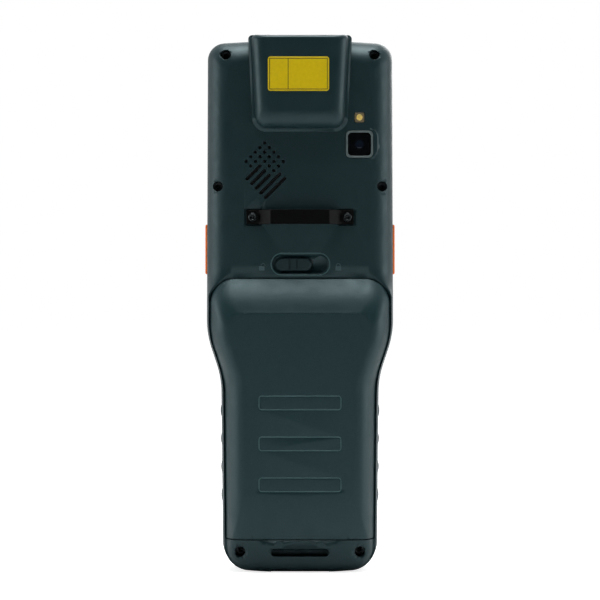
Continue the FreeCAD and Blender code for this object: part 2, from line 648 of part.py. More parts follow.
def rear_housing():
    """The rear half of the case with the battery bay, the chin and all its seats."""
    body = rear_shell(0.0)
    chin = fused(hump(0.0), hump_base(0.0, BACK_Y, BACK_Y + 1))
    chin = chin.common(across(-REACH, SEAM_BOTTOM_Z - SEAM_GAP / 2))
    plateau = pad(PLATEAU_EDGE_X - PLATEAU_HALF - PLATEAU_SHIFT, CAMERA_Z + PLATEAU_SHIFT,
                  2 * (PLATEAU_HALF + PLATEAU_SHIFT), 2 * PLATEAU_HALF, 3.5, BACK_Y,
                  INNER_BACK_Y + PLATEAU_DEPTH)
    body = fused(body, chin, plateau)

    # Hollows on the inside
    upper = rear_shell(REAR_WALL).common(across(CAVITY_LOW_Z, END_Z))
    low_cavity = slab(case_corners(2.6, 2.6, 2.6, 2.6), BAY_FLOOR_Y + BAY_FLOOR_WALL, PARTING_Y)
    low_cavity = low_cavity.common(across(-REACH, CAVITY_LOW_Z))
    bay = pad(0, (BAY_LOW_Z + BAY_HIGH_Z) / 2, 2 * BAY_HALF_WIDTH, BAY_HIGH_Z - BAY_LOW_Z, BAY_CORNER_R,
              HUMP_Y, BAY_FLOOR_Y)
    rebate = hump_base(-SEAM_GAP, HUMP_Y, COVER_REBATE_Y)
    rebate = rebate.common(across(SEAM_BOTTOM_Z - SEAM_GAP / 2, END_Z))
    body = cut(body, upper, low_cavity, bay, rebate)

    # Bosses and local thick floors
    bosses = []
    for x, z, seat in screw_places():
        bosses.append(rod_y(x, z, BOSS_R, seat - BOSS_FLOOR, PARTING_Y).common(rear_shell(0.0)))
    for side in (1, -1):
        bosses.append(rod_y(side * STRAP_SCREW_X, STRAP_Z, STRAP_BOSS_R, INNER_BACK_Y - 0.2,
                            STRAP_BOSS_Y))
    bosses.append(box(-LATCH_BOSS_HALF, LATCH_BOSS_HALF, INNER_BACK_Y - 0.2, LATCH_INNER_Y,
                      CAVITY_LOW_Z - 0.2, LATCH_Z + LATCH_BOSS_TOP))
    strap_pad = STRAP_HALF + STRAP_PAD_MARGIN
    bosses.append(box(-strap_pad, strap_pad, INNER_BACK_Y - 0.2, INNER_BACK_Y + STRAP_PAD_THICK,
                      STRAP_Z - STRAP_PAD_HALF_HEIGHT, STRAP_Z + STRAP_PAD_HALF_HEIGHT))
    body = fused(body, *bosses)

    # Openings and seats
    tools = [latch_recess()]
    slot_length = 2 * STEM_HALF + LATCH_TRAVEL + 2 * RUN_GAP
    tools.append(box(LATCH_X - slot_length / 2, LATCH_X + slot_length / 2, BACK_Y, LATCH_INNER_Y + 1,
                     LATCH_Z - STEM_HEIGHT / 2 - RUN_GAP, LATCH_Z + STEM_HEIGHT / 2 + RUN_GAP))
    reach = TONGUE_WIDTH / 2 + LATCH_TRAVEL / 2 + RUN_GAP
    tools.append(box(LATCH_X - reach, LATCH_X + reach, LATCH_INNER_Y,
                     TONGUE_Y + TONGUE_THICK + RUN_GAP, BAY_HIGH_Z - 1, CAVITY_LOW_Z + 1))
    for x, z, seat in screw_places():
        tools.append(rod_y(x, z, COUNTERBORE_R, HUMP_Y, seat))
        tools.append(rod_y(x, z, SCREW_R + 0.1, seat - 1, PARTING_Y + 1))
    for side in (1, -1):
        tools.append(pad(side * (STRAP_HALF + STRAP_TAB_X) / 2, STRAP_Z,
                         STRAP_HALF - STRAP_TAB_X + 2 * (FIT + STRAP_POCKET_GAP),
                         STRAP_HEIGHT + 2 * FIT + STRAP_POCKET_GAP, 0.8, BACK_Y, STRAP_FLOOR_Y))
        tools.append(rod_y(side * STRAP_SCREW_X, STRAP_Z, STRAP_SCREW_R, BACK_Y,
                           STRAP_SCREW_END_Y + RUN_GAP))
        hook_room = HOOK_WIDTH / 2 + RUN_GAP
        tools.append(box(side * HOOK_X - hook_room, side * HOOK_X + hook_room,
                         HOOK_BACK_Y - HOOK_ROOM, HOOK_FRONT_Y + HOOK_ROOM,
                         SEAM_BOTTOM_Z - HOOK_DEPTH - 2 * SEAM_GAP, SEAM_BOTTOM_Z + 1))
    tools.append(pad(CAMERA_X, CAMERA_Z, CAMERA_RIM + 2 * FIT, CAMERA_RIM + 2 * FIT, 1.8,
                     BACK_Y - 1, INNER_BACK_Y + 4))
    tools.append(pad(CAMERA_X, FLASH_Z, FLASH_SIZE + 2 * FIT, FLASH_SIZE + 2 * FIT, 0.8,
                     BACK_Y - 1, INNER_BACK_Y + 4))
    tools.extend(grille_holes())
    notch = slab(scan_corners(-FIT, -5, -FIT), HUMP_Y, PARTING_Y + 1)
    tools.append(notch.common(across(NOSE_Z - FIT, END_Z)))
    port_low = SCAN_BOTTOM_Z + SCAN_PORT_RISE
    tools.append(pad(0, (port_low + NOSE_Z) / 2, SCAN_PORT_WIDTH, NOSE_Z - port_low, 2.0, BACK_Y - 1,
                     INNER_BACK_Y + 1))
    tools.append(pad(0, TUNNEL_Z, 2 * TUNNEL_HALF, TUNNEL_HEIGHT, TUNNEL_HEIGHT / 2,
                     HUMP_Y, TUNNEL_INNER_Y))
    tools.append(box(-TUNNEL_HALF, TUNNEL_HALF, TUNNEL_INNER_Y - TUNNEL_HEIGHT, TUNNEL_INNER_Y,
                     -1, TUNNEL_Z))
    tools.append(box(-TUNNEL_HALF, TUNNEL_HALF, HUMP_Y, CHIN_FACE_Y + TUNNEL_REST_DEPTH, -1,
                     TUNNEL_REST_Z))
    for k in range(5):
        tools.append(Part.makeCylinder(DOCK_PAD_R, 3.2, Vector((k - 2) * DOCK_PITCH, DOCK_Y, 0)))
    tools.append(case_seal())
    return cut(body, *tools)


def case_seal():
    """The rubber cord in the groove between the two halves of the case."""
    outer = slab(case_corners(SEAL_INSET, SEAL_INSET, SEAL_INSET, SEAL_INSET),
                 PARTING_Y - SEAL_THICK, PARTING_Y)
    inset = SEAL_INSET + SEAL_THICK
    inner = slab(case_corners(inset, inset, inset, inset), PARTING_Y - SEAL_THICK - 1, PARTING_Y + 1)
    return cut(outer, inner)


def case_screws():
    """Six screws that hold the two halves together."""
    screws = []
    for x, z, seat in screw_places():
        head = rod_y(x, z, SCREW_HEAD_R, seat - SCREW_HEAD, seat)
        drive = rod_y(x, z, SCREW_DRIVE_R, seat - SCREW_HEAD, seat - SCREW_HEAD + SCREW_DRIVE_DEPTH)
        screws.append(cut(fused(head, rod_y(x, z, SCREW_R, seat, PARTING_Y + SCREW_BITE)), drive))
    return screws


# Battery bay

def panel_line(z):
    """One thin outlined rectangle pressed into the battery cover."""
    outer = pad(0, z, 2 * PANEL_LINE_HALF, PANEL_LINE_HEIGHT, 1.2, HUMP_Y - 1,
                HUMP_Y + PANEL_LINE_DEPTH)
    inner = pad(0, z, 2 * (PANEL_LINE_HALF - PANEL_LINE_WIDTH),
                PANEL_LINE_HEIGHT - 2 * PANEL_LINE_WIDTH, 0.8, HUMP_Y - 2, HUMP_Y + 1)
    return cut(outer, inner)


def battery_cover():
    """The cover that hooks in over the chin and locks at its top edge."""
    low = SEAM_BOTTOM_Z + SEAM_GAP / 2
    outer = fused(hump(0.0), hump_base(0.0, BACK_Y, COVER_REBATE_Y))
    outer = outer.common(across(low, END_Z))
    inner = fused(hump(COVER_WALL), hump_base(COVER_WALL, BACK_Y, COVER_REBATE_Y + 1))
    inner = inner.common(across(low + COVER_WALL, END_Z))
    body = cut(outer, inner)
    for half, y in ((BAY_HALF_WIDTH - END_WALL_SIDE, EDGE_Y + END_WALL_DEPTH),
                    (BAY_HALF_WIDTH + END_WEB_SIDE, BACK_Y - END_WEB_RISE)):
        body = cut(body, box(-half, half, y, COVER_REBATE_Y + 1, low - 1, low + COVER_WALL + 1))
    body = cut(body, *[panel_line(z) for z in PANEL_LINE_Z])
    hooks = []
    for side in (1, -1):
        x = side * HOOK_X
        hooks.append(box(x - HOOK_WIDTH / 2, x + HOOK_WIDTH / 2, HOOK_BACK_Y, HOOK_FRONT_Y,
                         SEAM_BOTTOM_Z - HOOK_DEPTH, low + 0.2))
    arm_top = CATCH_TIP_Z - CATCH_LIP
    arm_low = arm_top - CATCH_ARM
    lip_y = TONGUE_Y + TONGUE_THICK + 0.4
    left = CATCH_X - CATCH_WIDTH / 2
    right = CATCH_X + CATCH_WIDTH / 2
    arm = box(left, right, HUMP_Y + CATCH_SINK, lip_y + CATCH_THICK, arm_low, arm_top)
    lip = box(left, right, lip_y, lip_y + CATCH_THICK, arm_low, CATCH_TIP_Z)
    return fused(body, arm, lip, *hooks)


def battery_pack():
    """The battery: a block with rounded long edges on its back."""
    half = BAY_HALF_WIDTH - BATTERY_GAP
    low = BAY_LOW_Z + BATTERY_GAP
    high = BATTERY_TOP_Z
    pack = box(-half, half, BATTERY_BACK_Y, BAY_FLOOR_Y, low, high)
    long_edges = [e for e in pack.Edges if abs(e.CenterOfMass.z - (low + high) / 2) < 0.01
                  and e.CenterOfMass.y < BATTERY_BACK_Y + 0.01]
    return pack.makeFillet(BATTERY_EDGE_R, long_edges)


def battery_contacts():
    """A contact block on the top wall of the bay, with four spring blades."""
    top = BATTERY_TOP_Z
    block = box(*CONTACTS_X, CONTACTS_Y, BAY_FLOOR_Y, top + BLADE_REACH, BAY_HIGH_Z)
    blades = [box(x, x + BLADE_WIDTH, CONTACTS_Y + 1, BAY_FLOOR_Y - 1, top, top + BLADE_REACH + 0.1)
              for x in BLADE_X]
    return fused(block, *blades)


def battery_seal():
    """The rubber ring on the seat around the bay."""
    z = (BAY_LOW_Z + BAY_HIGH_Z) / 2
    width = 2 * BAY_HALF_WIDTH + 0.4
    height = BAY_HIGH_Z - BAY_LOW_Z + 0.4
    top = COVER_REBATE_Y
    outer = pad(0, z, width + 2 * SEAL_WIDTH, height + 2 * SEAL_WIDTH, 1.6, top - SEAL_HEIGHT, top)
    return cut(outer, pad(0, z, width, height, BAY_CORNER_R, top - SEAL_HEIGHT - 1, top + 1))


# Latch

def latch_slider():
    """The sliding knob: a base, two raised pads and a ribbed groove between them."""
    base_y = LATCH_FLOOR_Y - 0.1
    step_y = base_y - KNOB_BASE
    base = pad(KNOB_X, LATCH_Z, KNOB_LENGTH, KNOB_HEIGHT, KNOB_HEIGHT / 2, step_y, base_y)
    raised = pad(KNOB_X, LATCH_Z, KNOB_LENGTH - 2 * KNOB_EDGE, KNOB_HEIGHT - 2 * KNOB_EDGE,
                 KNOB_HEIGHT / 2 - KNOB_EDGE, BACK_Y + 0.1, step_y)
    groove = box(KNOB_X + KNOB_GROOVE[0], KNOB_X + KNOB_GROOVE[1], BACK_Y - 1, step_y,
                 LATCH_Z - KNOB_HEIGHT, LATCH_Z + KNOB_HEIGHT)
    rib = box(KNOB_X + KNOB_RIB[0], KNOB_X + KNOB_RIB[1], BACK_Y + KNOB_RIB_SINK, step_y,
              LATCH_Z - KNOB_RIB_HEIGHT / 2, LATCH_Z + KNOB_RIB_HEIGHT / 2)
    stem = box(KNOB_X - STEM_HALF, KNOB_X + STEM_HALF, base_y, TONGUE_Y, LATCH_Z - STEM_HEIGHT / 2,
               LATCH_Z + STEM_HEIGHT / 2)
    return fused(base, cut(raised, groove), rib, stem)


def latch_tongue():
    """The steel tongue behind the wall, which locks the cover's catch."""
    return box(KNOB_X - TONGUE_WIDTH / 2, KNOB_X + TONGUE_WIDTH / 2, TONGUE_Y,
               TONGUE_Y + TONGUE_THICK, TONGUE_TIP_Z, LATCH_Z + TONGUE_TOP)


# Scanner

def scan_cover():
    """The cover over the scan engine, with a nose that closes the top end of the case."""
    flange = slab(scan_corners(0, 0, 0), SCAN_SEAT_Y, BACK_Y)
    nose_end = PARTING_Y - SEAL_THICK
    nose = slab(scan_corners(0, 0, 0), SCAN_SEAT_Y, nose_end)
    nose = nose.common(across(NOSE_Z, END_Z))
    body = fused(scan_hump(0.0), flange, nose)
    inner_hump = scan_hump(SCAN_WALL)
    wall = SCAN_FLANGE_WIDTH + SCAN_WALL
    throat = slab(scan_corners(wall, SCAN_WALL, wall), SCAN_SEAT_Y, nose_end)
    window = box(-WINDOW_HALF, WINDOW_HALF, WINDOW_BACK_Y, WINDOW_FRONT_Y, SCAN_TOP_Z - 3, SCAN_TOP_Z)
    return cut(body, inner_hump, throat, window)


def scan_window():
    """The red-tinted window in the top end, in front of the scan engine."""
    high = SCAN_TOP_Z - WINDOW_INSET
    return box(-WINDOW_HALF, WINDOW_HALF, WINDOW_BACK_Y, WINDOW_FRONT_Y, high - WINDOW_THICK, high)


def scan_engine():
    """The scan engine with its two lenses, which look out of the top end."""
    y0 = WINDOW_BACK_Y + ENGINE_GAP
    body = box(-ENGINE_WIDTH / 2, ENGINE_WIDTH / 2, y0, y0 + ENGINE_DEPTH,
               ENGINE_TOP_Z - ENGINE_LENGTH, ENGINE_TOP_Z)
    lenses = []
    for x, radius in LENSES:
        base = Vector(x, y0 + ENGINE_DEPTH / 2, ENGINE_TOP_Z)
        lenses.append(Part.makeCylinder(radius, LENS_PROUD, base))
    return fused(body, *lenses)


def scan_bracket():
    """The sheet frame that carries the scan engine on the main board's side."""
    y = WINDOW_BACK_Y + ENGINE_GAP + ENGINE_DEPTH
    low = ENGINE_TOP_Z - ENGINE_LENGTH
    foot = low - BRACKET_FOOT
    plate = box(-BRACKET_HALF, BRACKET_HALF, y, y + BRACKET_SHEET, foot, ENGINE_TOP_Z)
    legs = [box(x, x + BRACKET_LEG, y, MAIN_BOARD_Y, foot, low + BRACKET_LEG_TOP)
            for x in (-BRACKET_HALF, BRACKET_HALF - BRACKET_LEG)]
    return fused(plate, *legs)


# Camera, flash and speaker

def camera_bezel():
    """The thin rim around the camera window."""
    rim = pad(CAMERA_X, CAMERA_Z, CAMERA_RIM, CAMERA_RIM, 1.7, BACK_Y - CAMERA_RIM_HEIGHT,
              BACK_Y + 1.4)
    hole = pad(CAMERA_X, CAMERA_Z, CAMERA_GLASS, CAMERA_GLASS, 1.5, BACK_Y - 1, BACK_Y + 3)
    return cut(rim, hole)


def rear_camera():
    """The camera: a lens barrel on a square body that plugs into the main board."""
    barrel = rod_y(CAMERA_X, CAMERA_Z, CAMERA_BARREL_R, BACK_Y + 1.2, CAMERA_BODY_Y + 0.2)
    body = pad(CAMERA_X, CAMERA_Z, CAMERA_BODY, CAMERA_BODY, 0.6, CAMERA_BODY_Y, MAIN_BOARD_Y)
    return fused(barrel, body)


def speaker():
    """The loudspeaker behind the grille."""
    z = SPEAKER_Z
    y = INNER_BACK_Y + MESH_THICK
    can = pad(GRILLE_X, z, SPEAKER_SIZE, SPEAKER_SIZE, 3.0, y, y + SPEAKER_DEPTH)
    magnet = rod_y(GRILLE_X, z, MAGNET_R, y + SPEAKER_DEPTH, y + SPEAKER_DEPTH + MAGNET_DEPTH)
    return cut(fused(can, magnet), rod_y(GRILLE_X, z, CONE_R, y - 1, y + CONE_DEPTH))


# Strap bracket

def strap_bracket():
    """The stamped bar that a hand strap passes under."""
    low = STRAP_FLOOR_Y
    high = BACK_Y - STRAP_GAP
    sheet = STRAP_SHEET
    lean = math.hypot(STRAP_TAB_X - STRAP_BAR_X, low - high)
    shift = sheet * (lean - (STRAP_TAB_X - STRAP_BAR_X)) / (low - high)
    outer = [(-STRAP_HALF, low - sheet), (-STRAP_TAB_X - shift, low - sheet),
             (-STRAP_BAR_X - shift, high - sheet), (STRAP_BAR_X + shift, high - sheet),
             (STRAP_TAB_X + shift, low - sheet), (STRAP_HALF, low - sheet)]
    inner = [(STRAP_HALF, low), (STRAP_TAB_X, low), (STRAP_BAR_X, high), (-STRAP_BAR_X, high),
             (-STRAP_TAB_X, low), (-STRAP_HALF, low)]
    base = STRAP_Z - STRAP_HEIGHT / 2
    points = [Vector(x, y, base) for x, y in outer + inner]
    bar = Part.Face(Part.makePolygon(points + points[:1])).extrude(Vector(0, 0, STRAP_HEIGHT))
    holes = [rod_y(side * STRAP_SCREW_X, STRAP_Z, STRAP_SCREW_R + 0.1, low - 3, low + 1)
             for side in (1, -1)]
    return cut(bar, *holes)


def strap_screws():
    """Two socket screws through the ends of the bracket."""
    top = STRAP_FLOOR_Y - STRAP_SHEET
    screws = []
    for side in (1, -1):
        x = side * STRAP_SCREW_X
        head = rod_y(x, STRAP_Z, STRAP_SCREW_HEAD_R, top - STRAP_SCREW_HEAD, top)
        head = head.makeChamfer(0.25, [e for e in head.Edges
                                       if e.CenterOfMass.y < top - STRAP_SCREW_HEAD + 0.01])
        socket = rod_y(x, STRAP_Z, 0.75, top - STRAP_SCREW_HEAD, top - 0.2)
        shank = rod_y(x, STRAP_Z, STRAP_SCREW_R, top, STRAP_SCREW_END_Y)
        screws.append(cut(fused(head, shank), socket))
    return screws


# Front housing and display stack

def keys():
    """Every key: name, x, z, width, height and corner radius. Each row is listed from the back."""
    found = [("key_scan", 0.0, SCAN_KEY_Z, SCAN_KEY_WIDTH, SCAN_KEY_HEIGHT, SCAN_KEY_HEIGHT / 2),
             ("key_side_left", -SIDE_KEY_X, SCAN_KEY_Z, KEY_WIDTH, SIDE_KEY_HEIGHT, KEY_CORNER_R),
             ("key_side_right", SIDE_KEY_X, SCAN_KEY_Z, KEY_WIDTH, SIDE_KEY_HEIGHT, KEY_CORNER_R)]
    rows = ("menu hash zero star", "back nine eight seven", "shift six five four",
            "enter three two one")
    for row, names in enumerate(rows):
        for column, name in enumerate(names.split()):
            x = (column - 1.5) * KEY_PITCH_X
            z = KEY_FIRST_Z + row * KEY_PITCH_Z
            found.append(("key_" + name, x, z, KEY_WIDTH, KEY_HEIGHT, KEY_CORNER_R))
    return found


def key_cap(x, z, width, height, radius):
    """One key with a rounded top edge, and the flange that keeps it in the panel."""
    cap = pad(x, z, width, height, radius, KEY_FLANGE_Y, KEY_TOP_Y)
    rim = [e for e in cap.Edges if e.CenterOfMass.y > KEY_TOP_Y - 0.01]
    cap = cap.makeFillet(0.5, rim)
    flange = pad(x, z, width + 2 * KEY_FLANGE, height + 2 * KEY_FLANGE, radius + KEY_FLANGE,
                 KEY_BOTTOM_Y, KEY_FLANGE_Y)
    return fused(cap, flange)


def front_housing():
    """The front half of the case: display shelf, key panel and trigger holes."""
    body = front_shell()
    head = slab(case_corners(FRONT_WALL, FRONT_WALL, FRONT_WALL, FRONT_WALL), PARTING_Y, SHELF_Y)
    head = head.common(across(PANEL_Z[1] + 1.5, END_Z))
    grip = slab(case_corners(FRONT_WALL, FRONT_WALL, FRONT_WALL, FRONT_WALL), PARTING_Y, PANEL_BACK_Y)
    grip = grip.common(across(-REACH, PANEL_Z[1] + 1.5))
    body = cut(body, head, grip)

    bosses = [rod_y(x, z, FRONT_BOSS_R, PARTING_Y, SHELF_Y + 0.2) for x, z, seat in screw_places()]
    bosses = [boss.common(front_shell()) for boss in bosses]
    for z in (KEY_BOARD_Z[0] + 2, KEY_BOARD_Z[1] - 1.4):
        bosses.append(box(-12, 12, KEY_BOARD_TOP_Y, PANEL_BACK_Y, z - 1, z + 1))
    for side in (1, -1):
        for z in (CHASSIS_Z[0] + 2.5, CHASSIS_Z[1] - 12):
            bosses.append(rod_y(side * (CHASSIS_HALF - CHASSIS_PEG_SIDE), z, CHASSIS_PEG_R,
                                CHASSIS_TOP_Y, SHELF_Y + 0.2))
    body = fused(body, *bosses)

    tools = [pad(0, GLASS_Z, GLASS_WIDTH + 2 * FIT, GLASS_LENGTH + 2 * FIT, GLASS_CORNER_R + FIT,
                 GLASS_Y, FRONT_Y + 1),
             pad(0, DISPLAY_Z, DISPLAY_WIDTH + 2 * FIT, DISPLAY_LENGTH + 2 * FIT, 1.0, SHELF_Y - 1,
                 FRONT_Y),
             pad(0, (PANEL_Z[0] + PANEL_Z[1]) / 2, 2 * PANEL_HALF, PANEL_Z[1] - PANEL_Z[0], 4.0,
                 PANEL_Y, FRONT_Y + 1),
             rod_y(0, PANEL_Z[0] + 2.2, 0.5, PANEL_BACK_Y - 1, FRONT_Y)]
    for name, x, z, width, height, radius in keys():
        tools.append(pad(x, z, width + 2 * KEY_GAP, height + 2 * KEY_GAP, radius + KEY_GAP,
                         PANEL_BACK_Y - 1, FRONT_Y))
    for x, z, seat in screw_places():
        tools.append(rod_y(x, z, SCREW_R, PARTING_Y - 1, PARTING_Y + SCREW_BITE + 0.5))
    middle = (TRIGGER_LOW_Z + TRIGGER_HIGH_Z) / 2
    length = TRIGGER_HIGH_Z - TRIGGER_LOW_Z
    for side in (1, -1):
        wall_x = side * (HEAD_HALF_WIDTH - FRONT_WALL / 2)
        tools.append(box(wall_x - 2 * FRONT_WALL, wall_x + 2 * FRONT_WALL,
                         TRIGGER_Y - TRIGGER_DEPTH / 2 - RUN_GAP,
                         TRIGGER_Y + TRIGGER_DEPTH / 2 + RUN_GAP, middle - length / 2 - RUN_GAP,
                         middle + length / 2 + RUN_GAP))
        tools.append(grip_strip(side))
    flap_room = box(-FLAP_HALF - RUN_GAP, FLAP_HALF + RUN_GAP, FLAP_BACK_Y - RUN_GAP,
                    FLAP_FRONT_Y + RUN_GAP, -1, FLAP_SINK + FLAP_THICK + 0.1)
    port = box(-USB_WIDTH / 2 - FIT, USB_WIDTH / 2 + FIT, KEY_BOARD_Y - USB_HEIGHT - FIT,
               KEY_BOARD_Y, -1, FRONT_WALL + 1)
    return cut(body, *tools, flap_room, port)


def cover_glass():
    """The touch glass, with a slot for the earpiece."""
    glass = pad(0, GLASS_Z, GLASS_WIDTH, GLASS_LENGTH, GLASS_CORNER_R, GLASS_Y, GLASS_TOP_Y)
    slot = pad(0, EARPIECE_Z, EARPIECE_LENGTH + 0.2, EARPIECE_HEIGHT + 0.2, 0.7, GLASS_Y - 1,
               GLASS_TOP_Y + 1)
    return cut(glass, slot)


def near_screws(clearance, y0, y1):
    """Room around the screw bosses of the front housing."""
    return [rod_y(x, z, FRONT_BOSS_R + clearance, y0, y1) for x, z, seat in screw_places()]


def chassis():
    """The metal plate that stiffens the case and carries the main board."""
    middle = (CHASSIS_Z[0] + CHASSIS_Z[1]) / 2
    plate = pad(0, middle, 2 * CHASSIS_HALF, CHASSIS_Z[1] - CHASSIS_Z[0], 5.0, CHASSIS_Y,
                CHASSIS_TOP_Y)
    posts = []
    for x in (STANDOFF_SIDE - HEAD_HALF_WIDTH, HEAD_HALF_WIDTH - STANDOFF_SIDE):
        for z in (MAIN_BOARD_Z[0] + 3, (MAIN_BOARD_Z[0] + MAIN_BOARD_Z[1]) / 2, MAIN_BOARD_Z[1] - 7):
            posts.append(rod_y(x, z, STANDOFF_R, BOARD_TOP_Y, CHASSIS_Y))
    rooms = near_screws(0.4, CHASSIS_Y - 1, CHASSIS_TOP_Y + 1)
    for side in (1, -1):
        inner = HEAD_HALF_WIDTH - FRONT_WALL - TRIGGER_FLANGE - TRIGGER_TRAVEL - CHASSIS_TRIGGER_ROOM
        rooms.append(box(min(side * inner, side * REACH), max(side * inner, side * REACH),
                         CHASSIS_Y - 1, CHASSIS_TOP_Y + 1, TRIGGER_LOW_Z - 2, TRIGGER_HIGH_Z + 2))
    return cut(fused(plate, *posts), *rooms)


def main_board():
    """The main circuit board."""
    middle = (MAIN_BOARD_Z[0] + MAIN_BOARD_Z[1]) / 2
    board = pad(0, middle, 2 * MAIN_BOARD_HALF, MAIN_BOARD_Z[1] - MAIN_BOARD_Z[0], 3.0, MAIN_BOARD_Y,
                BOARD_TOP_Y)
    return cut(board, *near_screws(0.4, MAIN_BOARD_Y - 1, BOARD_TOP_Y + 1))


def shield_cans():
    """Three metal cans over the chips on the back of the main board."""
    return [pad(x, z * STRETCH, width, height * STRETCH, 0.8, MAIN_BOARD_Y - CAN_HEIGHT,
                MAIN_BOARD_Y) for x, z, width, height in CANS]


def keypad_board():
    """The keypad's circuit board."""
    middle = (KEY_BOARD_Z[0] + KEY_BOARD_Z[1]) / 2
    board = pad(0, middle, 2 * KEY_BOARD_HALF, KEY_BOARD_Z[1] - KEY_BOARD_Z[0], KEY_BOARD_CORNER_R,
                KEY_BOARD_Y, KEY_BOARD_TOP_Y)
    return cut(board, *near_screws(0.4, KEY_BOARD_Y - 1, KEY_BOARD_TOP_Y + 1))


def key_mat():
    """The rubber mat between the keys and their dome switches."""
    low = PANEL_Z[0] + 1.0
    high = KEY_BOARD_Z[1] - 3.5
    return pad(0, (low + high) / 2, 2 * KEY_BOARD_HALF - 1, high - low, 3.0, MAT_Y, MAT_TOP_Y)


def dome_switches():
    """One dome under each key."""
    return [rod_y(x, z, DOME_R, KEY_BOARD_TOP_Y, MAT_Y) for name, x, z, w, h, r in keys()]


def usb_connector():
    """The port's metal shell on the back of the keypad board."""
    y = KEY_BOARD_Y - USB_HEIGHT
    low = FLAP_SINK + FLAP_THICK + 0.1 + USB_TOP_GAP
    shell = box(-USB_WIDTH / 2, USB_WIDTH / 2, y, KEY_BOARD_Y, low, low + USB_LENGTH)
    hollow = box(-USB_WIDTH / 2 + 0.4, USB_WIDTH / 2 - 0.4, y + 0.4, KEY_BOARD_Y - 0.4, low - 1,
                 low + USB_LENGTH - 1)
    tongue = box(-3, 3, y + 1.2, KEY_BOARD_Y - 1.2, low + 0.8, low + USB_LENGTH - 0.5)
    return fused(cut(shell, hollow), tongue)


def usb_cover():
    """The rubber flap over the port, flush with the bottom end."""
    flap = box(-FLAP_HALF, FLAP_HALF, FLAP_BACK_Y, FLAP_FRONT_Y, FLAP_SINK, FLAP_SINK + FLAP_THICK)
    edges = [e for e in flap.Edges if abs(e.CenterOfMass.z - FLAP_SINK - FLAP_THICK / 2) < 0.01]
    return flap.makeFillet(1.0, edges)


def dock_contacts():
    """Five gold pins in the bottom end, for a charging cradle."""
    return [Part.makeCylinder(DOCK_PAD_R, 3.0, Vector((k - 2) * DOCK_PITCH, DOCK_Y, 0.2))
            for k in range(5)]


# Sides

def trigger(side):
    """A scan trigger in the side wall, with the flange that keeps it in."""
    wall_x = HEAD_HALF_WIDTH - FRONT_WALL
    outer = HEAD_HALF_WIDTH + TRIGGER_PROUD
    cap = box(wall_x - 0.1, outer, TRIGGER_Y - TRIGGER_DEPTH / 2, TRIGGER_Y + TRIGGER_DEPTH / 2,
              TRIGGER_LOW_Z, TRIGGER_HIGH_Z)
    cap = cap.makeFillet(0.6, [e for e in cap.Edges if e.CenterOfMass.x > outer - 0.01])
    flange = box(wall_x - 0.1 - TRIGGER_FLANGE, wall_x - 0.1, TRIGGER_Y - TRIGGER_DEPTH / 2 - 0.6,
                 TRIGGER_Y + TRIGGER_DEPTH / 2 + 0.6, TRIGGER_LOW_Z - 0.8, TRIGGER_HIGH_Z + 0.8)
    whole = fused(cap, flange)
    return whole if side > 0 else flip(whole)


def side_switches():
    """The two switches on the main board that the triggers press."""
    tip = HEAD_HALF_WIDTH - FRONT_WALL - 0.1 - TRIGGER_FLANGE - TRIGGER_TRAVEL - 0.1
    middle = (TRIGGER_LOW_Z + TRIGGER_HIGH_Z) / 2
    body = box(tip - 3.4, tip - 0.6, BOARD_TOP_Y, BOARD_TOP_Y + SWITCH_DEPTH,
               middle - SWITCH_LENGTH / 2, middle + SWITCH_LENGTH / 2)
    button = box(tip - 0.6, tip, BOARD_TOP_Y + 0.5, BOARD_TOP_Y + SWITCH_DEPTH - 0.5,
                 middle - 2, middle + 2)
    switch = fused(body, button)
    return [switch, flip(switch)]


def grip_strip(side):
    """The strip of the side wall that a grip pad fills."""
    outer = slab(case_corners(), GRIP_Y[0], GRIP_Y[1])
    inner = slab(case_corners(GRIP_THICK, GRIP_THICK, 0.0, 0.0), GRIP_Y[0] - 1, GRIP_Y[1] + 1)
    room = box(FOOT_FLAT_HALF, REACH, -REACH, REACH, GRIP_Z[0], GRIP_Z[1])
    strip = cut(outer, inner).common(room)
    return strip if side > 0 else flip(strip)


def side_grip(side):
    """A rubber grip pad with low ribs across it."""
    radius = (RIB_HEIGHT ** 2 + (RIB_LENGTH / 2) ** 2) / (2 * RIB_HEIGHT)
    ribs = []
    for k in range(RIBS):
        z = RIB_FIRST_Z + k * RIB_PITCH
        lean = (GRIP_HALF_WIDTH - FOOT_HALF_WIDTH) * (z - 1.0) / (NECK_BOTTOM_Z - 1.0)
        surface = FOOT_HALF_WIDTH + lean
        rib = rod_y(surface + RIB_HEIGHT - radius, z, radius, GRIP_Y[0] + 0.3, GRIP_Y[1] - 0.3)
        ribs.append(rib.common(box(surface - 0.4, surface + 2, 0, 20, z - 4, z + 4)))
    pad_solid = fused(grip_strip(1), *ribs)
    return pad_solid if side > 0 else flip(pad_solid)


# Write every sub-part

save("rear_housing", rear_housing())
save("front_housing", front_housing())
save("battery_cover", battery_cover())
save("scan_cover", scan_cover())
save("case_seal", case_seal())
save("case_screws", *case_screws())
save("battery_pack", battery_pack())
save("battery_contacts", battery_contacts())
save("battery_seal", battery_seal())
save("latch_slider", latch_slider())
save("latch_tongue", latch_tongue())
save("scan_window", scan_window())
save("scan_engine", scan_engine())
save("scan_bracket", scan_bracket())
save("label_plate", pad(LABEL_X, LABEL_Z, LABEL_WIDTH, LABEL_HEIGHT, 1.0, SCAN_Y - LABEL_THICK,
                        SCAN_Y))
save("camera_bezel", camera_bezel())
save("camera_window", pad(CAMERA_X, CAMERA_Z, CAMERA_GLASS - 0.1, CAMERA_GLASS - 0.1, 1.45,
                          BACK_Y + 0.1, BACK_Y + 1.0))
save("rear_camera", rear_camera())
save("flash_lens", pad(CAMERA_X, FLASH_Z, FLASH_SIZE, FLASH_SIZE, 0.7, BACK_Y - 0.1,
                       INNER_BACK_Y + 0.2))
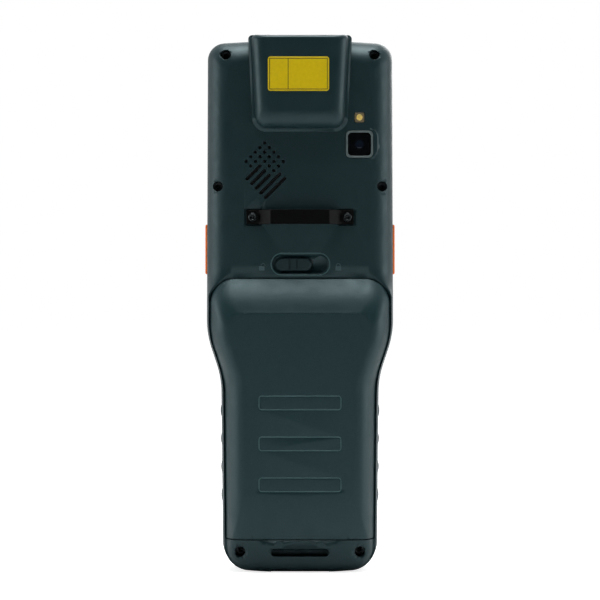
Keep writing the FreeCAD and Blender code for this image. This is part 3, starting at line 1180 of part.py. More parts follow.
save("flash_led", pad(CAMERA_X, FLASH_Z, FLASH_LED, FLASH_LED, 0.3, INNER_BACK_Y + 0.2,
                      INNER_BACK_Y + 1.4))
save("speaker", speaker())
save("speaker_mesh", pad(GRILLE_X, SPEAKER_Z, SPEAKER_SIZE - 1, SPEAKER_SIZE - 1, 2.5, INNER_BACK_Y,
                         INNER_BACK_Y + MESH_THICK))
save("strap_bracket", strap_bracket())
save("strap_screws", *strap_screws())
save("cover_glass", cover_glass())
save("lcd_module", pad(0, DISPLAY_Z, DISPLAY_WIDTH, DISPLAY_LENGTH, 0.8, DISPLAY_Y, GLASS_Y))
save("earpiece_mesh", pad(0, EARPIECE_Z, EARPIECE_LENGTH, EARPIECE_HEIGHT, 0.6, GLASS_Y,
                          GLASS_TOP_Y - 0.3))
save("chassis", chassis())
save("main_board", main_board())
save("shield_cans", *shield_cans())
save("keypad_board", keypad_board())
save("key_mat", key_mat())
save("dome_switches", *dome_switches())
save("usb_connector", usb_connector())
save("usb_cover", usb_cover())
save("dock_contacts", *dock_contacts())
save("trigger_left", trigger(-1))
save("trigger_right", trigger(1))
save("side_switches", *side_switches())
save("side_grip_left", side_grip(-1))
save("side_grip_right", side_grip(1))
for key_name, key_x, key_z, key_w, key_h, key_r in keys():
    save(key_name, key_cap(key_x, key_z, key_w, key_h, key_r))
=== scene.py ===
import json
import math

import bmesh
import bpy
from mathutils import Matrix, Vector
from mathutils.bvhtree import BVHTree

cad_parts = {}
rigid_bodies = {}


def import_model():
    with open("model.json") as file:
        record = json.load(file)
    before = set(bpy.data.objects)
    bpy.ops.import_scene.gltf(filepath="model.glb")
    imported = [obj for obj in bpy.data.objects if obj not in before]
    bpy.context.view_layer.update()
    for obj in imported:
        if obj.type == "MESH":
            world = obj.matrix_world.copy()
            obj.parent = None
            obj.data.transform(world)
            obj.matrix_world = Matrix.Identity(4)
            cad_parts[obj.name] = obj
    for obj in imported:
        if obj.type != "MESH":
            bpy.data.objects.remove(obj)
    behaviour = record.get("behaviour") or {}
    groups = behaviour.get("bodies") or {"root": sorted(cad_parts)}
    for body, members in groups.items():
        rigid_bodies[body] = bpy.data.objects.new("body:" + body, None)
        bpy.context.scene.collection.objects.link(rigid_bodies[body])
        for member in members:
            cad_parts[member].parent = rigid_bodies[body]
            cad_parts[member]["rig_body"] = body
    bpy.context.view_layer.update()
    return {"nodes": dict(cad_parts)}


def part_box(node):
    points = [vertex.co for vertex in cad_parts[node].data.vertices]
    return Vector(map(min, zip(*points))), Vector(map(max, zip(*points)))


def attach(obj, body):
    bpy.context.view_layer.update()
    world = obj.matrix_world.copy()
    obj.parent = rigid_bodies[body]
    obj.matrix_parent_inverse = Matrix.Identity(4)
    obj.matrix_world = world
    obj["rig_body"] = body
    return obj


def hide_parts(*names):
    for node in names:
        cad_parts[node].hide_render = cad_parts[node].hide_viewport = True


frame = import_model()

mm = 0.001
nodes = frame["nodes"]


# Camera
# The terminal is seen square on from behind, from 0.8 m away, with its long axis upright.
# The view is 217.9 mm wide at the middle of the case, which gives the focal length.

VIEW_DISTANCE = 0.8
VIEW_HEIGHT = 97.8 * mm
VIEW_WIDTH = 217.87 * mm

camera_data = bpy.data.cameras.new("view")
camera_data.sensor_width = 36.0
camera_data.lens = camera_data.sensor_width * VIEW_DISTANCE / VIEW_WIDTH
camera_data.clip_start = 10 * mm
camera = bpy.data.objects.new("view", camera_data)
camera.location = (0, -VIEW_DISTANCE, VIEW_HEIGHT)
camera.rotation_euler = (math.pi / 2, 0, 0)
bpy.context.scene.collection.objects.link(camera)
bpy.context.scene.camera = camera


# Rear housing
# The rear shell is moulded in dark grey-green plastic with a fine spark-eroded grain.
# Its skin has a faint mottle, and the grain catches the light on every rounded edge.

CASE_TONE = (13, 36, 40)
CASE_SHEEN = (0.7, 0.95, 1.0, 1.0)
PLAIN_SHEEN = (1.0, 1.0, 1.0, 1.0)
CASE_GRAIN = 2600.0
GRAIN_DEPTH = 0.022 * mm
EDGE_ROUND = 0.3 * mm
BROAD_SHARE = 12
GLOSS_SPREAD = 0.05
CREASE_ANGLE = math.radians(28)
BEVEL_ANGLE = math.radians(35)
FLAT_ANGLE = math.radians(0.5)
SAME_PLACE = 1e-8


def tone(red, green, blue):
    """A linear colour from one written in 0 to 255, by the usual display curve."""
    def linear(value):
        share = value / 255.0
        return share / 12.92 if share <= 0.04045 else ((share + 0.055) / 1.055) ** 2.4
    return (linear(red), linear(green), linear(blue), 1.0)


def start_material(name, roughness, specular=0.5):
    """A material with one shader, whose plain numbers sit on the shader's own sockets."""
    material = bpy.data.materials.new(name)
    material.use_nodes = True
    shader = material.node_tree.nodes["Principled BSDF"]
    shader.inputs["Roughness"].default_value = roughness
    shader.inputs["Specular IOR Level"].default_value = specular
    return material, shader


def add_noise(material, scale, detail=3.0):
    """Noise on the piece's own coordinates."""
    tree = material.node_tree
    place = tree.nodes.new("ShaderNodeTexCoord")
    noise = tree.nodes.new("ShaderNodeTexNoise")
    noise.inputs["Scale"].default_value = scale
    noise.inputs["Detail"].default_value = detail
    tree.links.new(place.outputs["Object"], noise.inputs["Vector"])
    return noise


def add_spread(material, source, low, high, target):
    """Turn the middle part of a grey value into a range of numbers for one socket."""
    spread = material.node_tree.nodes.new("ShaderNodeMapRange")
    spread.inputs["From Min"].default_value = 0.3
    spread.inputs["From Max"].default_value = 0.7
    spread.inputs["To Min"].default_value = low
    spread.inputs["To Max"].default_value = high
    material.node_tree.links.new(source, spread.inputs["Value"])
    material.node_tree.links.new(spread.outputs["Result"], target)


def add_tones(material, source, dark, light, target):
    """Blend between two colours over the middle part of a grey value."""
    ramp = material.node_tree.nodes.new("ShaderNodeValToRGB")
    ramp.color_ramp.elements[0].position = 0.35
    ramp.color_ramp.elements[0].color = dark
    ramp.color_ramp.elements[1].position = 0.65
    ramp.color_ramp.elements[1].color = light
    material.node_tree.links.new(source, ramp.inputs["Fac"])
    material.node_tree.links.new(ramp.outputs["Color"], target)


def add_bump(material, shader, source, depth, edge=EDGE_ROUND):
    """Raise the surface by a grey value, to a depth in metres, and round its sharp edges."""
    rounding = material.node_tree.nodes.new("ShaderNodeBevel")
    rounding.samples = 4
    rounding.inputs["Radius"].default_value = edge
    bump = material.node_tree.nodes.new("ShaderNodeBump")
    bump.inputs["Strength"].default_value = 1.0
    bump.inputs["Distance"].default_value = depth
    material.node_tree.links.new(source, bump.inputs["Height"])
    material.node_tree.links.new(rounding.outputs["Normal"], bump.inputs["Normal"])
    material.node_tree.links.new(bump.outputs["Normal"], shader.inputs["Normal"])


def scaled(colour, share):
    """A colour made darker or lighter."""
    return tuple(channel * share for channel in colour[:3]) + (1.0,)


def moulded(name, colour, roughness, grain, depth, mottle=0.12, specular=0.5, edge=EDGE_ROUND,
            sheen=PLAIN_SHEEN):
    """Moulded plastic or rubber: a fine grain, a faint mottle and uneven gloss."""
    material, shader = start_material(name, roughness, specular)
    shader.inputs["Specular Tint"].default_value = sheen
    fine = add_noise(material, grain)
    broad = add_noise(material, grain / BROAD_SHARE)
    add_tones(material, fine.outputs["Fac"], scaled(colour, 1 - mottle), scaled(colour, 1 + mottle),
              shader.inputs["Base Color"])
    add_spread(material, broad.outputs["Fac"], roughness - GLOSS_SPREAD, roughness + GLOSS_SPREAD,
               shader.inputs["Roughness"])
    add_bump(material, shader, fine.outputs["Fac"], depth, edge)
    return material


def dress(node, material, soften=0.0):
    """A finished copy of one sub-part: merged, smoothly shaded, and softened along its edges."""
    form = bmesh.new()
    form.from_mesh(nodes[node].data)
    bmesh.ops.remove_doubles(form, verts=form.verts, dist=SAME_PLACE)
    if soften:
        bmesh.ops.dissolve_limit(form, angle_limit=FLAT_ANGLE, verts=form.verts, edges=form.edges)
    mesh = bpy.data.meshes.new(node + "_finished")
    form.to_mesh(mesh)
    form.free()
    mesh.polygons.foreach_set("use_smooth", [True] * len(mesh.polygons))
    mesh.set_sharp_from_angle(angle=CREASE_ANGLE)
    piece = bpy.data.objects.new(node + "_finished", mesh)
    bpy.context.scene.collection.objects.link(piece)
    if soften:
        bevel = piece.modifiers.new("edge", "BEVEL")
        bevel.width = soften
        bevel.segments = 2
        bevel.limit_method = "ANGLE"
        bevel.angle_limit = BEVEL_ANGLE
        bevel.harden_normals = True
    even = piece.modifiers.new("even", "WEIGHTED_NORMAL")
    even.mode = "FACE_AREA_WITH_ANGLE"
    even.weight = 50
    even.keep_sharp = True
    mesh.materials.append(material)
    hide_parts(node)
    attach(piece, nodes[node]["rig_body"])
    return piece


case_plastic = moulded("case_plastic", tone(*CASE_TONE), 0.46, CASE_GRAIN, GRAIN_DEPTH,
                       sheen=CASE_SHEEN)
dress("rear_housing", case_plastic)


# Front housing
# The front shell is the same plastic with a slightly smoother grain round the display.
# It carries the key panel, the trigger holes and the port.

front_plastic = moulded("front_plastic", tone(14, 36, 40), 0.5, CASE_GRAIN, 0.018 * mm,
                        sheen=CASE_SHEEN)
dress("front_housing", front_plastic)


# Battery cover
# The cover is moulded in the same plastic as the rear shell, with the same grain.
# Three thin outlined rectangles are pressed into its flat; their grooves hold lighter strips, a
# painted highlight for the edges that catch the light.

COVER_EDGE = 0.9 * mm

cover_plastic = moulded("cover_plastic", tone(20, 44, 48), 0.44, CASE_GRAIN, GRAIN_DEPTH,
                        edge=COVER_EDGE, sheen=CASE_SHEEN)
dress("battery_cover", cover_plastic)

LINE_HALF_WIDTH = 14.8 * mm
LINE_HEIGHT = 5.25 * mm
LINE_WIDTH = 0.38 * mm
LINE_RISE = 0.07 * mm
LINE_SINK = 0.25 * mm
LINE_CLEAR = 1.4
LINE_CENTRES = (61.1 * mm, 46.5 * mm, 31.9 * mm)
LINE_CORNER = 1.2 * mm


def rounded_ring(half_width, half_height, radius, steps=6):
    """The points of a rounded rectangle, counted round once."""
    points = []
    for quarter in range(4):
        side_x = (1, -1, -1, 1)[quarter]
        side_z = (1, 1, -1, -1)[quarter]
        for step in range(steps + 1):
            angle = math.pi / 2 * (quarter + step / steps)
            points.append((side_x * (half_width - radius) + radius * math.cos(angle),
                           side_z * (half_height - radius) + radius * math.sin(angle)))
    return points


def new_piece(name, form, material, body, smooth=True):
    """Turn a finished form into a piece that rides on a body."""
    bmesh.ops.recalc_face_normals(form, faces=form.faces)
    mesh = bpy.data.meshes.new(name)
    form.to_mesh(mesh)
    form.free()
    if smooth:
        mesh.polygons.foreach_set("use_smooth", [True] * len(mesh.polygons))
        mesh.set_sharp_from_angle(angle=BEVEL_ANGLE)
    mesh.materials.append(material)
    piece = bpy.data.objects.new(name, mesh)
    bpy.context.scene.collection.objects.link(piece)
    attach(piece, body)
    return piece


def surface_depth(node):
    """A probe for the depth of a sub-part's outer surface at a place on its back."""
    form = bmesh.new()
    form.from_mesh(nodes[node].data)
    tree = BVHTree.FromBMesh(form)
    form.free()

    def probe(x, z):
        hit = tree.ray_cast(Vector((x, -50 * mm, z)), Vector((0, 1, 0)))[0]
        return hit.y if hit else 0.0
    return probe


# A lighter plastic whose colour is a painted highlight for lit groove and bevel edges; the latch
# rim's ring uses it too.
painted_highlight_plastic = moulded("painted_highlight_plastic", tone(62, 90, 92), 0.4, CASE_GRAIN, 0.01 * mm,
                       sheen=CASE_SHEEN)
cover_depth = surface_depth("battery_cover")
for number, centre in enumerate(LINE_CENTRES):
    outer = rounded_ring(LINE_HALF_WIDTH, LINE_HEIGHT / 2, LINE_CORNER)
    inner = rounded_ring(LINE_HALF_WIDTH - LINE_WIDTH, LINE_HEIGHT / 2 - LINE_WIDTH,
                         LINE_CORNER - LINE_WIDTH)
    line = bmesh.new()
    loops = []
    for ring, rise in ((outer, -LINE_SINK), (outer, LINE_RISE), (inner, LINE_RISE),
                       (inner, -LINE_SINK)):
        loop = []
        for x, z in ring:
            flat = cover_depth(0.0, centre + z * LINE_CLEAR)
            loop.append(line.verts.new((x, flat - rise, centre + z)))
        loops.append(loop)
    count = len(outer)
    for first, second in zip(loops, loops[1:] + loops[:1]):
        for k in range(count):
            after = (k + 1) % count
            line.faces.new((first[k], first[after], second[after], second[k]))
    new_piece("cover_line_highlight_" + str(number + 1), line, painted_highlight_plastic, "battery_cover")


# Scanner cover and window
# A separate moulding covers the scan engine and closes the top end of the case.
# The window is a dark red-tinted acrylic, which passes the scanner's light.

GLASS_SPECULAR = 0.6
POLISH_SCALE = 180.0

scan_plastic = moulded("scan_plastic", tone(15, 38, 42), 0.43, CASE_GRAIN, 0.02 * mm,
                       sheen=CASE_SHEEN)
dress("scan_cover", scan_plastic)


def glassy(name, colour, roughness=0.04):
    """Dark glass or acrylic with a very slight unevenness of polish."""
    material, shader = start_material(name, roughness, GLASS_SPECULAR)
    shader.inputs["Base Color"].default_value = colour
    polish = add_noise(material, POLISH_SCALE)
    add_spread(material, polish.outputs["Fac"], roughness * 0.7, roughness * 1.5,
               shader.inputs["Roughness"])
    return material


dress("scan_window", glassy("scan_acrylic", tone(52, 6, 8)))


# Label plate
# A thin polyester plate with a printed outline and one divider, left blank.
# It is bright yellow, and its print is dark and slightly matt.

LABEL_MARGIN = 0.55 * mm
LABEL_LINE = 0.22 * mm
LABEL_DIVIDER = 6.6 * mm
PRINT_RISE = 0.02 * mm
PRINT_SINK = 0.03 * mm

label_yellow = moulded("label_yellow", tone(222, 194, 2), 0.42, 900.0, 0.004 * mm, 0.03, 0.4)
label_ink = moulded("label_ink", tone(40, 38, 20), 0.5, 900.0, 0.002 * mm, 0.05, 0.3)
dress("label_plate", label_yellow, soften=0.05 * mm)


def slab_points(form, points, near, far):
    """Add a flat prism to a form, from a list of places on the back or the front."""
    front = [form.verts.new((x, near, z)) for x, z in points]
    back = [form.verts.new((x, far, z)) for x, z in points]
    form.faces.new(front)
    form.faces.new(back[::-1])
    for k in range(len(points)):
        after = (k + 1) % len(points)
        form.faces.new((front[k], back[k], back[after], front[after]))


def bar(form, low_x, high_x, low_z, high_z, near, far):
    """Add one rectangular bar to a form."""
    corners = [(low_x, low_z), (high_x, low_z), (high_x, high_z), (low_x, high_z)]
    slab_points(form, corners, near, far)


label_low, label_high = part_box("label_plate")
print_form = bmesh.new()
left = label_low.x + LABEL_MARGIN
right = label_high.x - LABEL_MARGIN
bottom = label_low.z + LABEL_MARGIN
top = label_high.z - LABEL_MARGIN
face_y = label_low.y
near_y = face_y - PRINT_RISE
for low_x, high_x, low_z, high_z in (
        (left, right, bottom, bottom + LABEL_LINE), (left, right, top - LABEL_LINE, top),
        (left, left + LABEL_LINE, bottom + LABEL_LINE, top - LABEL_LINE),
        (right - LABEL_LINE, right, bottom + LABEL_LINE, top - LABEL_LINE),
        (left + LABEL_DIVIDER, left + LABEL_DIVIDER + LABEL_LINE, bottom + LABEL_LINE,
         top - LABEL_LINE)):
    bar(print_form, low_x, high_x, low_z, high_z, near_y, face_y + PRINT_SINK)
new_piece("label_print", print_form, label_ink, "housing", smooth=False)


# Camera and flash
# The camera sits behind a small black glass in a bright-edged rim, and a lens ring shows inside.
# The flash is a yellow phosphor chip under a clear frame.

LENS_PROFILE = ((1.5 * mm, -0.2 * mm), (1.5 * mm, 0.02 * mm), (1.1 * mm, 0.045 * mm),
                (0.6 * mm, 0.06 * mm), (0.1 * mm, 0.065 * mm))
DOME_PROFILE = ((1.15 * mm, -0.1 * mm), (1.1 * mm, 0.04 * mm), (0.7 * mm, 0.09 * mm),
                (0.1 * mm, 0.11 * mm))

rim_metal = moulded("rim_metal", tone(96, 110, 110), 0.3, 1500.0, 0.003 * mm, 0.05)
dress("camera_bezel", rim_metal, soften=0.12 * mm)
dress("camera_window", glassy("camera_glass", tone(5, 7, 9)), soften=0.06 * mm)
camera_low, camera_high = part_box("camera_window")
lens_x = (camera_low.x + camera_high.x) / 2
lens_z = (camera_low.z + camera_high.z) / 2


def ring_piece(name, x, z, near, profile, material, body, steps=48):
    """A turned ring or dome: profile lists (radius, distance in front of near)."""
    form = bmesh.new()
    rows = []
    for radius, lift in profile:
        row = []
        for k in range(steps):
            angle = 2 * math.pi * k / steps
            row.append(form.verts.new((x + radius * math.cos(angle), near - lift,
                                       z + radius * math.sin(angle))))
        rows.append(row)
    for first, second in zip(rows, rows[1:]):
        for k in range(steps):
            after = (k + 1) % steps
            form.faces.new((first[k], first[after], second[after], second[k]))
    form.faces.new(rows[0][::-1])
    form.faces.new(rows[-1])
    return new_piece(name, form, material, body)


lens_glass = glassy("lens_glass", tone(14, 22, 34), 0.02)
ring_piece("camera_lens", lens_x, lens_z, camera_low.y, LENS_PROFILE, lens_glass, "housing")

flash_frame = moulded("flash_frame", tone(112, 102, 78), 0.25, 1200.0, 0.002 * mm, 0.05, 0.6)
flash_phosphor = moulded("flash_phosphor", tone(236, 206, 112), 0.4, 1800.0, 0.004 * mm, 0.15)
dress("flash_lens", flash_frame, soften=0.15 * mm)
dress("flash_led", flash_phosphor)
flash_low, flash_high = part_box("flash_lens")
flash_x = (flash_low.x + flash_high.x) / 2
flash_z = (flash_low.z + flash_high.z) / 2
ring_piece("flash_dome", flash_x, flash_z, flash_low.y, DOME_PROFILE, flash_phosphor, "housing",
           32)


# Speaker and its mesh
# A fine woven mesh behind the grille keeps dust off the loudspeaker.
# Its wires cross at a steady pitch, so one rule lays them both ways.

MESH_PITCH = 0.5 * mm
MESH_WIRE = 0.16 * mm

mesh_metal = moulded("mesh_metal", tone(14, 16, 17), 0.45, 3000.0, 0.004 * mm)
module_black = moulded("module_black", tone(22, 24, 26), 0.5, 1200.0, 0.01 * mm)
nodes["speaker_mesh"].data.materials.clear()
nodes["speaker_mesh"].data.materials.append(mesh_metal)
dress("speaker", module_black)


def wire_tree():
    """Geometry that lays wires across a square: width, height, pitch and wire size."""
    tree = bpy.data.node_groups.new("woven_wires", "GeometryNodeTree")
    tree.interface.new_socket("Geometry", in_out="OUTPUT", socket_type="NodeSocketGeometry")
    for label in ("Width", "Height", "Pitch", "Wire"):
        tree.interface.new_socket(label, in_out="INPUT", socket_type="NodeSocketFloat")
    cloth = tree.interface.new_socket("Material", in_out="INPUT", socket_type="NodeSocketMaterial")
    add = tree.nodes.new
    link = tree.links.new
    given = add("NodeGroupInput")
    joined = add("GeometryNodeJoinGeometry")
    for along, across in (("Width", "Height"), ("Height", "Width")):
        count = add("ShaderNodeMath")
        count.operation = "DIVIDE"
        link(given.outputs[along], count.inputs[0])
        link(given.outputs["Pitch"], count.inputs[1])
        half = add("ShaderNodeMath")
        half.operation = "MULTIPLY"
        half.inputs[1].default_value = -0.5
        link(given.outputs[along], half.inputs[0])
        start = add("ShaderNodeCombineXYZ")
        step = add("ShaderNodeCombineXYZ")
        size = add("ShaderNodeCombineXYZ")
        axis = "X" if along == "Width" else "Z"
        other = "Z" if along == "Width" else "X"
        link(half.outputs[0], start.inputs[axis])
        link(given.outputs["Pitch"], step.inputs[axis])
        link(given.outputs["Wire"], size.inputs[axis])
        link(given.outputs["Wire"], size.inputs["Y"])
        link(given.outputs[across], size.inputs[other])
        line = add("GeometryNodeMeshLine")
        link(count.outputs[0], line.inputs["Count"])
        link(start.outputs[0], line.inputs["Start Location"])
        link(step.outputs[0], line.inputs["Offset"])
        wire = add("GeometryNodeMeshCube")
        link(size.outputs[0], wire.inputs["Size"])
        laid = add("GeometryNodeInstanceOnPoints")
        link(line.outputs["Mesh"], laid.inputs["Points"])
        link(wire.outputs["Mesh"], laid.inputs["Instance"])
        link(laid.outputs["Instances"], joined.inputs["Geometry"])
    real = add("GeometryNodeRealizeInstances")
    coloured = add("GeometryNodeSetMaterial")
    result = add("NodeGroupOutput")
    link(joined.outputs["Geometry"], real.inputs["Geometry"])
    link(real.outputs["Geometry"], coloured.inputs["Geometry"])
    link(given.outputs[cloth.name], coloured.inputs["Material"])
    link(coloured.outputs["Geometry"], result.inputs["Geometry"])
    return tree


def woven(name, node, y, material, wires, body):
    """Lay wires over one flat mesh, as a plain piece."""
    low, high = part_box(node)
    maker = bpy.data.objects.new(name + "_maker", bpy.data.meshes.new(name + "_maker"))
    bpy.context.scene.collection.objects.link(maker)
    modifier = maker.modifiers.new("wires", "NODES")
    modifier.node_group = wires
    values = {"Width": high.x - low.x - 2 * MESH_PITCH, "Height": high.z - low.z - 2 * MESH_PITCH,
              "Pitch": MESH_PITCH, "Wire": MESH_WIRE, "Material": material}
    for socket in wires.interface.items_tree:
        if socket.in_out == "INPUT":
            modifier[socket.identifier] = values[socket.name]
    ready = maker.evaluated_get(bpy.context.evaluated_depsgraph_get())
    mesh = bpy.data.meshes.new_from_object(ready)
    maker.modifiers.clear()
    bpy.data.objects.remove(maker)
    mesh.transform(Matrix.Translation(((low.x + high.x) / 2, y, (low.z + high.z) / 2)))
    piece = bpy.data.objects.new(name, mesh)
    bpy.context.scene.collection.objects.link(piece)
    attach(piece, body)


wires = wire_tree()
woven("speaker_wires", "speaker_mesh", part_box("speaker_mesh")[0].y + 0.02 * mm, mesh_metal, wires,
      "housing")


# Strap bracket and its screws
# The bracket is stamped from black coated steel, and two socket screws hold its ends.
# Its coating is smooth enough to show a soft highlight along the bends.

black_coat = moulded("black_coat", tone(2, 3, 3), 0.5, 1500.0, 0.004 * mm, 0.1, 0.1, 0.15 * mm)
screw_steel = moulded("screw_steel", tone(38, 44, 46), 0.3, 1800.0, 0.003 * mm, 0.1, 0.5, 0.1 * mm)
screw_steel.node_tree.nodes["Principled BSDF"].inputs["Metallic"].default_value = 0.7
dress("strap_bracket", black_coat, soften=0.16 * mm)
dress("strap_screws", screw_steel)
dress("case_screws", screw_steel)


# Battery latch
# The knob slides in a bevelled stadium recess and carries a steel tongue behind the wall.
# Two small padlock marks, open and shut, are moulded beside the recess, and a thin lighter ring along
# the recess's bevel is a painted highlight.

MARK_X = 13.8 * mm
MARK_Z = 109.9 * mm
MARK_RISE = 0.05 * mm
MARK_SINK = 0.1 * mm
MARK_LEG = 0.3 * mm
MARK_SHIFT = 0.5 * mm
MARK_STEPS = 10
MARK_BODY = (1.0 * mm, 0.75 * mm)
MARK_LOOP = 0.62 * mm
MARK_LINE = 0.2 * mm
LATCH_X = 0.15 * mm
LATCH_Z = 110.7 * mm
RIM_LENGTH = 10.75 * mm
RIM_HEIGHT = 4.1 * mm
RIM_LINE = 0.35 * mm
RIM_RISE = 0.03 * mm
RIM_SINK = 0.1 * mm
RIM_FLAT = 0.01 * mm
RIM_STEPS = 10

knob_plastic = moulded("knob_plastic", tone(18, 36, 40), 0.4, CASE_GRAIN, 0.014 * mm,
                       sheen=CASE_SHEEN)
mark_plastic = moulded("mark_plastic", tone(60, 82, 86), 0.45, CASE_GRAIN, 0.006 * mm,
                       sheen=CASE_SHEEN)
sheet_steel = moulded("sheet_steel", tone(186, 188, 186), 0.32, 700.0, 0.003 * mm, 0.06)
sheet_steel.node_tree.nodes["Principled BSDF"].inputs["Metallic"].default_value = 1.0
dress("latch_slider", knob_plastic, soften=0.14 * mm)
dress("latch_tongue", sheet_steel, soften=0.1 * mm)


def padlock(name, x, z, y, shift):
    """A moulded padlock mark: a small block and a loop, which is shifted when open."""
    form = bmesh.new()
    half_width, half_height = MARK_BODY
    near = y - MARK_RISE
    far = y + MARK_SINK
    bar(form, x - half_width, x + half_width, z - 2 * half_height, z, near, far)
    for k in range(MARK_STEPS):
        first = math.pi * k / MARK_STEPS
        second = math.pi * (k + 1) / MARK_STEPS
        points = [(x + shift + radius * math.cos(angle), z + MARK_LEG + radius * math.sin(angle))
                  for radius, angle in ((MARK_LOOP, first), (MARK_LOOP + MARK_LINE, first),
                                        (MARK_LOOP + MARK_LINE, second), (MARK_LOOP, second))]
        slab_points(form, points, near, far)
    for side in (-1, 1):
        if shift and side > 0:
            continue
        middle = x + shift + side * (MARK_LOOP + MARK_LINE / 2)
        bar(form, middle - MARK_LINE / 2, middle + MARK_LINE / 2, z, z + MARK_LEG, near, far)
    new_piece(name, form, mark_plastic, "housing", smooth=False)


back_y = surface_depth("rear_housing")(MARK_X, MARK_Z + 3 * mm)
# A thin ring of the lighter strip plastic round the recess's rim is a painted highlight on its bevel.
rim_highlight_form = bmesh.new()
rings = []
for inset in (0.0, RIM_LINE):
    points = rounded_ring(RIM_LENGTH - inset, RIM_HEIGHT - inset, RIM_HEIGHT - inset - RIM_FLAT,
                          RIM_STEPS)
    for lift in (RIM_RISE, -RIM_SINK):
        rings.append([rim_highlight_form.verts.new((x + LATCH_X, back_y - lift, z + LATCH_Z))
                      for x, z in points])
order = [rings[0], rings[2], rings[3], rings[1]]
count = len(order[0])
for first, second in zip(order, order[1:] + order[:1]):
    for k in range(count):
        after = (k + 1) % count
        rim_highlight_form.faces.new((first[k], first[after], second[after], second[k]))
new_piece("latch_rim_highlight", rim_highlight_form, painted_highlight_plastic, "housing")
padlock("mark_open", -MARK_X, MARK_Z, back_y, MARK_SHIFT)
padlock("mark_shut", MARK_X, MARK_Z, back_y, 0.0)


# Side triggers, grips and rubber parts
# The scan triggers are bright orange plastic, and the grips are ribbed soft rubber.
# The seals are the same kind of rubber in a deeper black, and the port's flap is the grip rubber.

orange = moulded("orange_plastic", tone(244, 116, 30), 0.38, 1600.0, 0.006 * mm, 0.05)
grip_rubber = moulded("grip_rubber", tone(48, 66, 70), 0.62, 1500.0, 0.03 * mm, 0.1, 0.4)
seal_rubber = moulded("seal_rubber", tone(20, 22, 23), 0.7, 1200.0, 0.01 * mm, 0.1, 0.3)
for side in ("left", "right"):
    dress("trigger_" + side, orange)
    dress("side_grip_" + side, grip_rubber)
dress("usb_cover", grip_rubber, soften=0.1 * mm)
for node in ("case_seal", "battery_seal", "key_mat"):
    dress(node, seal_rubber)


# Display glass and its stack
# The touch glass is black-printed round a dark display, which is switched off.
# The printed border is a deeper black than the display behind it.

DISPLAY_EDGE = 1.2 * mm

glass_material, glass_shader = start_material("touch_glass", 0.03, GLASS_SPECULAR)
glass_shader.inputs["Coat Weight"].default_value = 0.6
glass_shader.inputs["Coat Roughness"].default_value = 0.02
glass_polish = add_noise(glass_material, 90.0)
add_spread(glass_material, glass_polish.outputs["Fac"], 0.025, 0.05, glass_shader.inputs["Roughness"])
display_low, display_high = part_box("lcd_module")
glass_tree = glass_material.node_tree
glass_place = glass_tree.nodes.new("ShaderNodeTexCoord")
glass_split = glass_tree.nodes.new("ShaderNodeSeparateXYZ")
glass_tree.links.new(glass_place.outputs["Object"], glass_split.inputs["Vector"])


def within(tree, source, middle, half):
    """One where a coordinate lies within half of the middle, and nought elsewhere."""
    test = tree.nodes.new("ShaderNodeMath")
    test.operation = "COMPARE"
    test.inputs[1].default_value = middle
    test.inputs[2].default_value = half
    tree.links.new(source, test.inputs[0])
    return test.outputs[0]


across = within(glass_tree, glass_split.outputs["X"], 0.0, display_high.x - DISPLAY_EDGE)
along = within(glass_tree, glass_split.outputs["Z"], (display_low.z + display_high.z) / 2,
               (display_high.z - display_low.z) / 2 - DISPLAY_EDGE)
shown = glass_tree.nodes.new("ShaderNodeMath")
shown.operation = "MULTIPLY"
glass_tree.links.new(across, shown.inputs[0])
glass_tree.links.new(along, shown.inputs[1])
add_tones(glass_material, shown.outputs[0], tone(6, 7, 8), tone(24, 27, 31),
          glass_shader.inputs["Base Color"])
dress("cover_glass", glass_material, soften=0.15 * mm)
dress("lcd_module", module_black)
nodes["earpiece_mesh"].data.materials.clear()
nodes["earpiece_mesh"].data.materials.append(mesh_metal)
woven("earpiece_wires", "earpiece_mesh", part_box("earpiece_mesh")[1].y, mesh_metal, wires, "housing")


# Keys and their marks
# Each key is a satin moulding with a rounded top edge and a printed mark.
# The wide scan key is orange, with plain upright bars on it.

MARK_DEPTH = 0.02 * mm
STROKE_WIDTH = 0.55 * mm
STROKE_LIFT = 0.002 * mm
DIGIT_HEIGHT = 6.4 * mm
BAR_HALF = 2.5
BAR_PLACES = (-4.4, -3.0, -1.2, 0.4, 1.6, 3.4, 4.6)
BAR_WIDTH = 0.6 * mm

key_plastic = moulded("key_plastic", tone(52, 57, 60), 0.42, 1700.0, 0.008 * mm, 0.07)
key_ink = moulded("key_ink", tone(226, 228, 226), 0.5, 1500.0, 0.002 * mm, 0.03)
key_ink_dark = moulded("key_ink_dark", tone(36, 30, 26), 0.5, 1500.0, 0.002 * mm, 0.03)
digits = {"one": "1", "two": "2", "three": "3", "four": "4", "five": "5", "six": "6", "seven": "7",
          "eight": "8", "nine": "9", "zero": "0", "hash": "#"}
strokes = {
    "back": [(-2.2, 0, -0.6, 1.5), (-2.2, 0, -0.6, -1.5), (-2.2, 0, 2.4, 0)],
    "enter": [(-2.0, -0.8, -0.6, 0.5), (-2.0, -0.8, -0.6, -2.1), (-2.0, -0.8, 2.1, -0.8),
              (2.1, -0.8, 2.1, 1.8)],
    "shift": [(0, 2.2, -1.8, 0.2), (0, 2.2, 1.8, 0.2), (0, 2.2, 0, -2.2)],
    "menu": [(-2.0, 1.4, 2.0, 1.4), (-2.0, 0, 2.0, 0), (-2.0, -1.4, 2.0, -1.4)],
    "star": [(-1.6, 0, 1.6, 0), (-0.8, -1.39, 0.8, 1.39), (-0.8, 1.39, 0.8, -1.39)],
    "side_left": [(-1.8, 0, 1.8, 0), (0, -1.8, 0, 1.8)],
    "side_right": [(-1.8, 0, 1.8, 0)]}


def key_face(node):
    """The middle of a key's top face."""
    low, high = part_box(node)
    return (low.x + high.x) / 2, high.y, (low.z + high.z) / 2


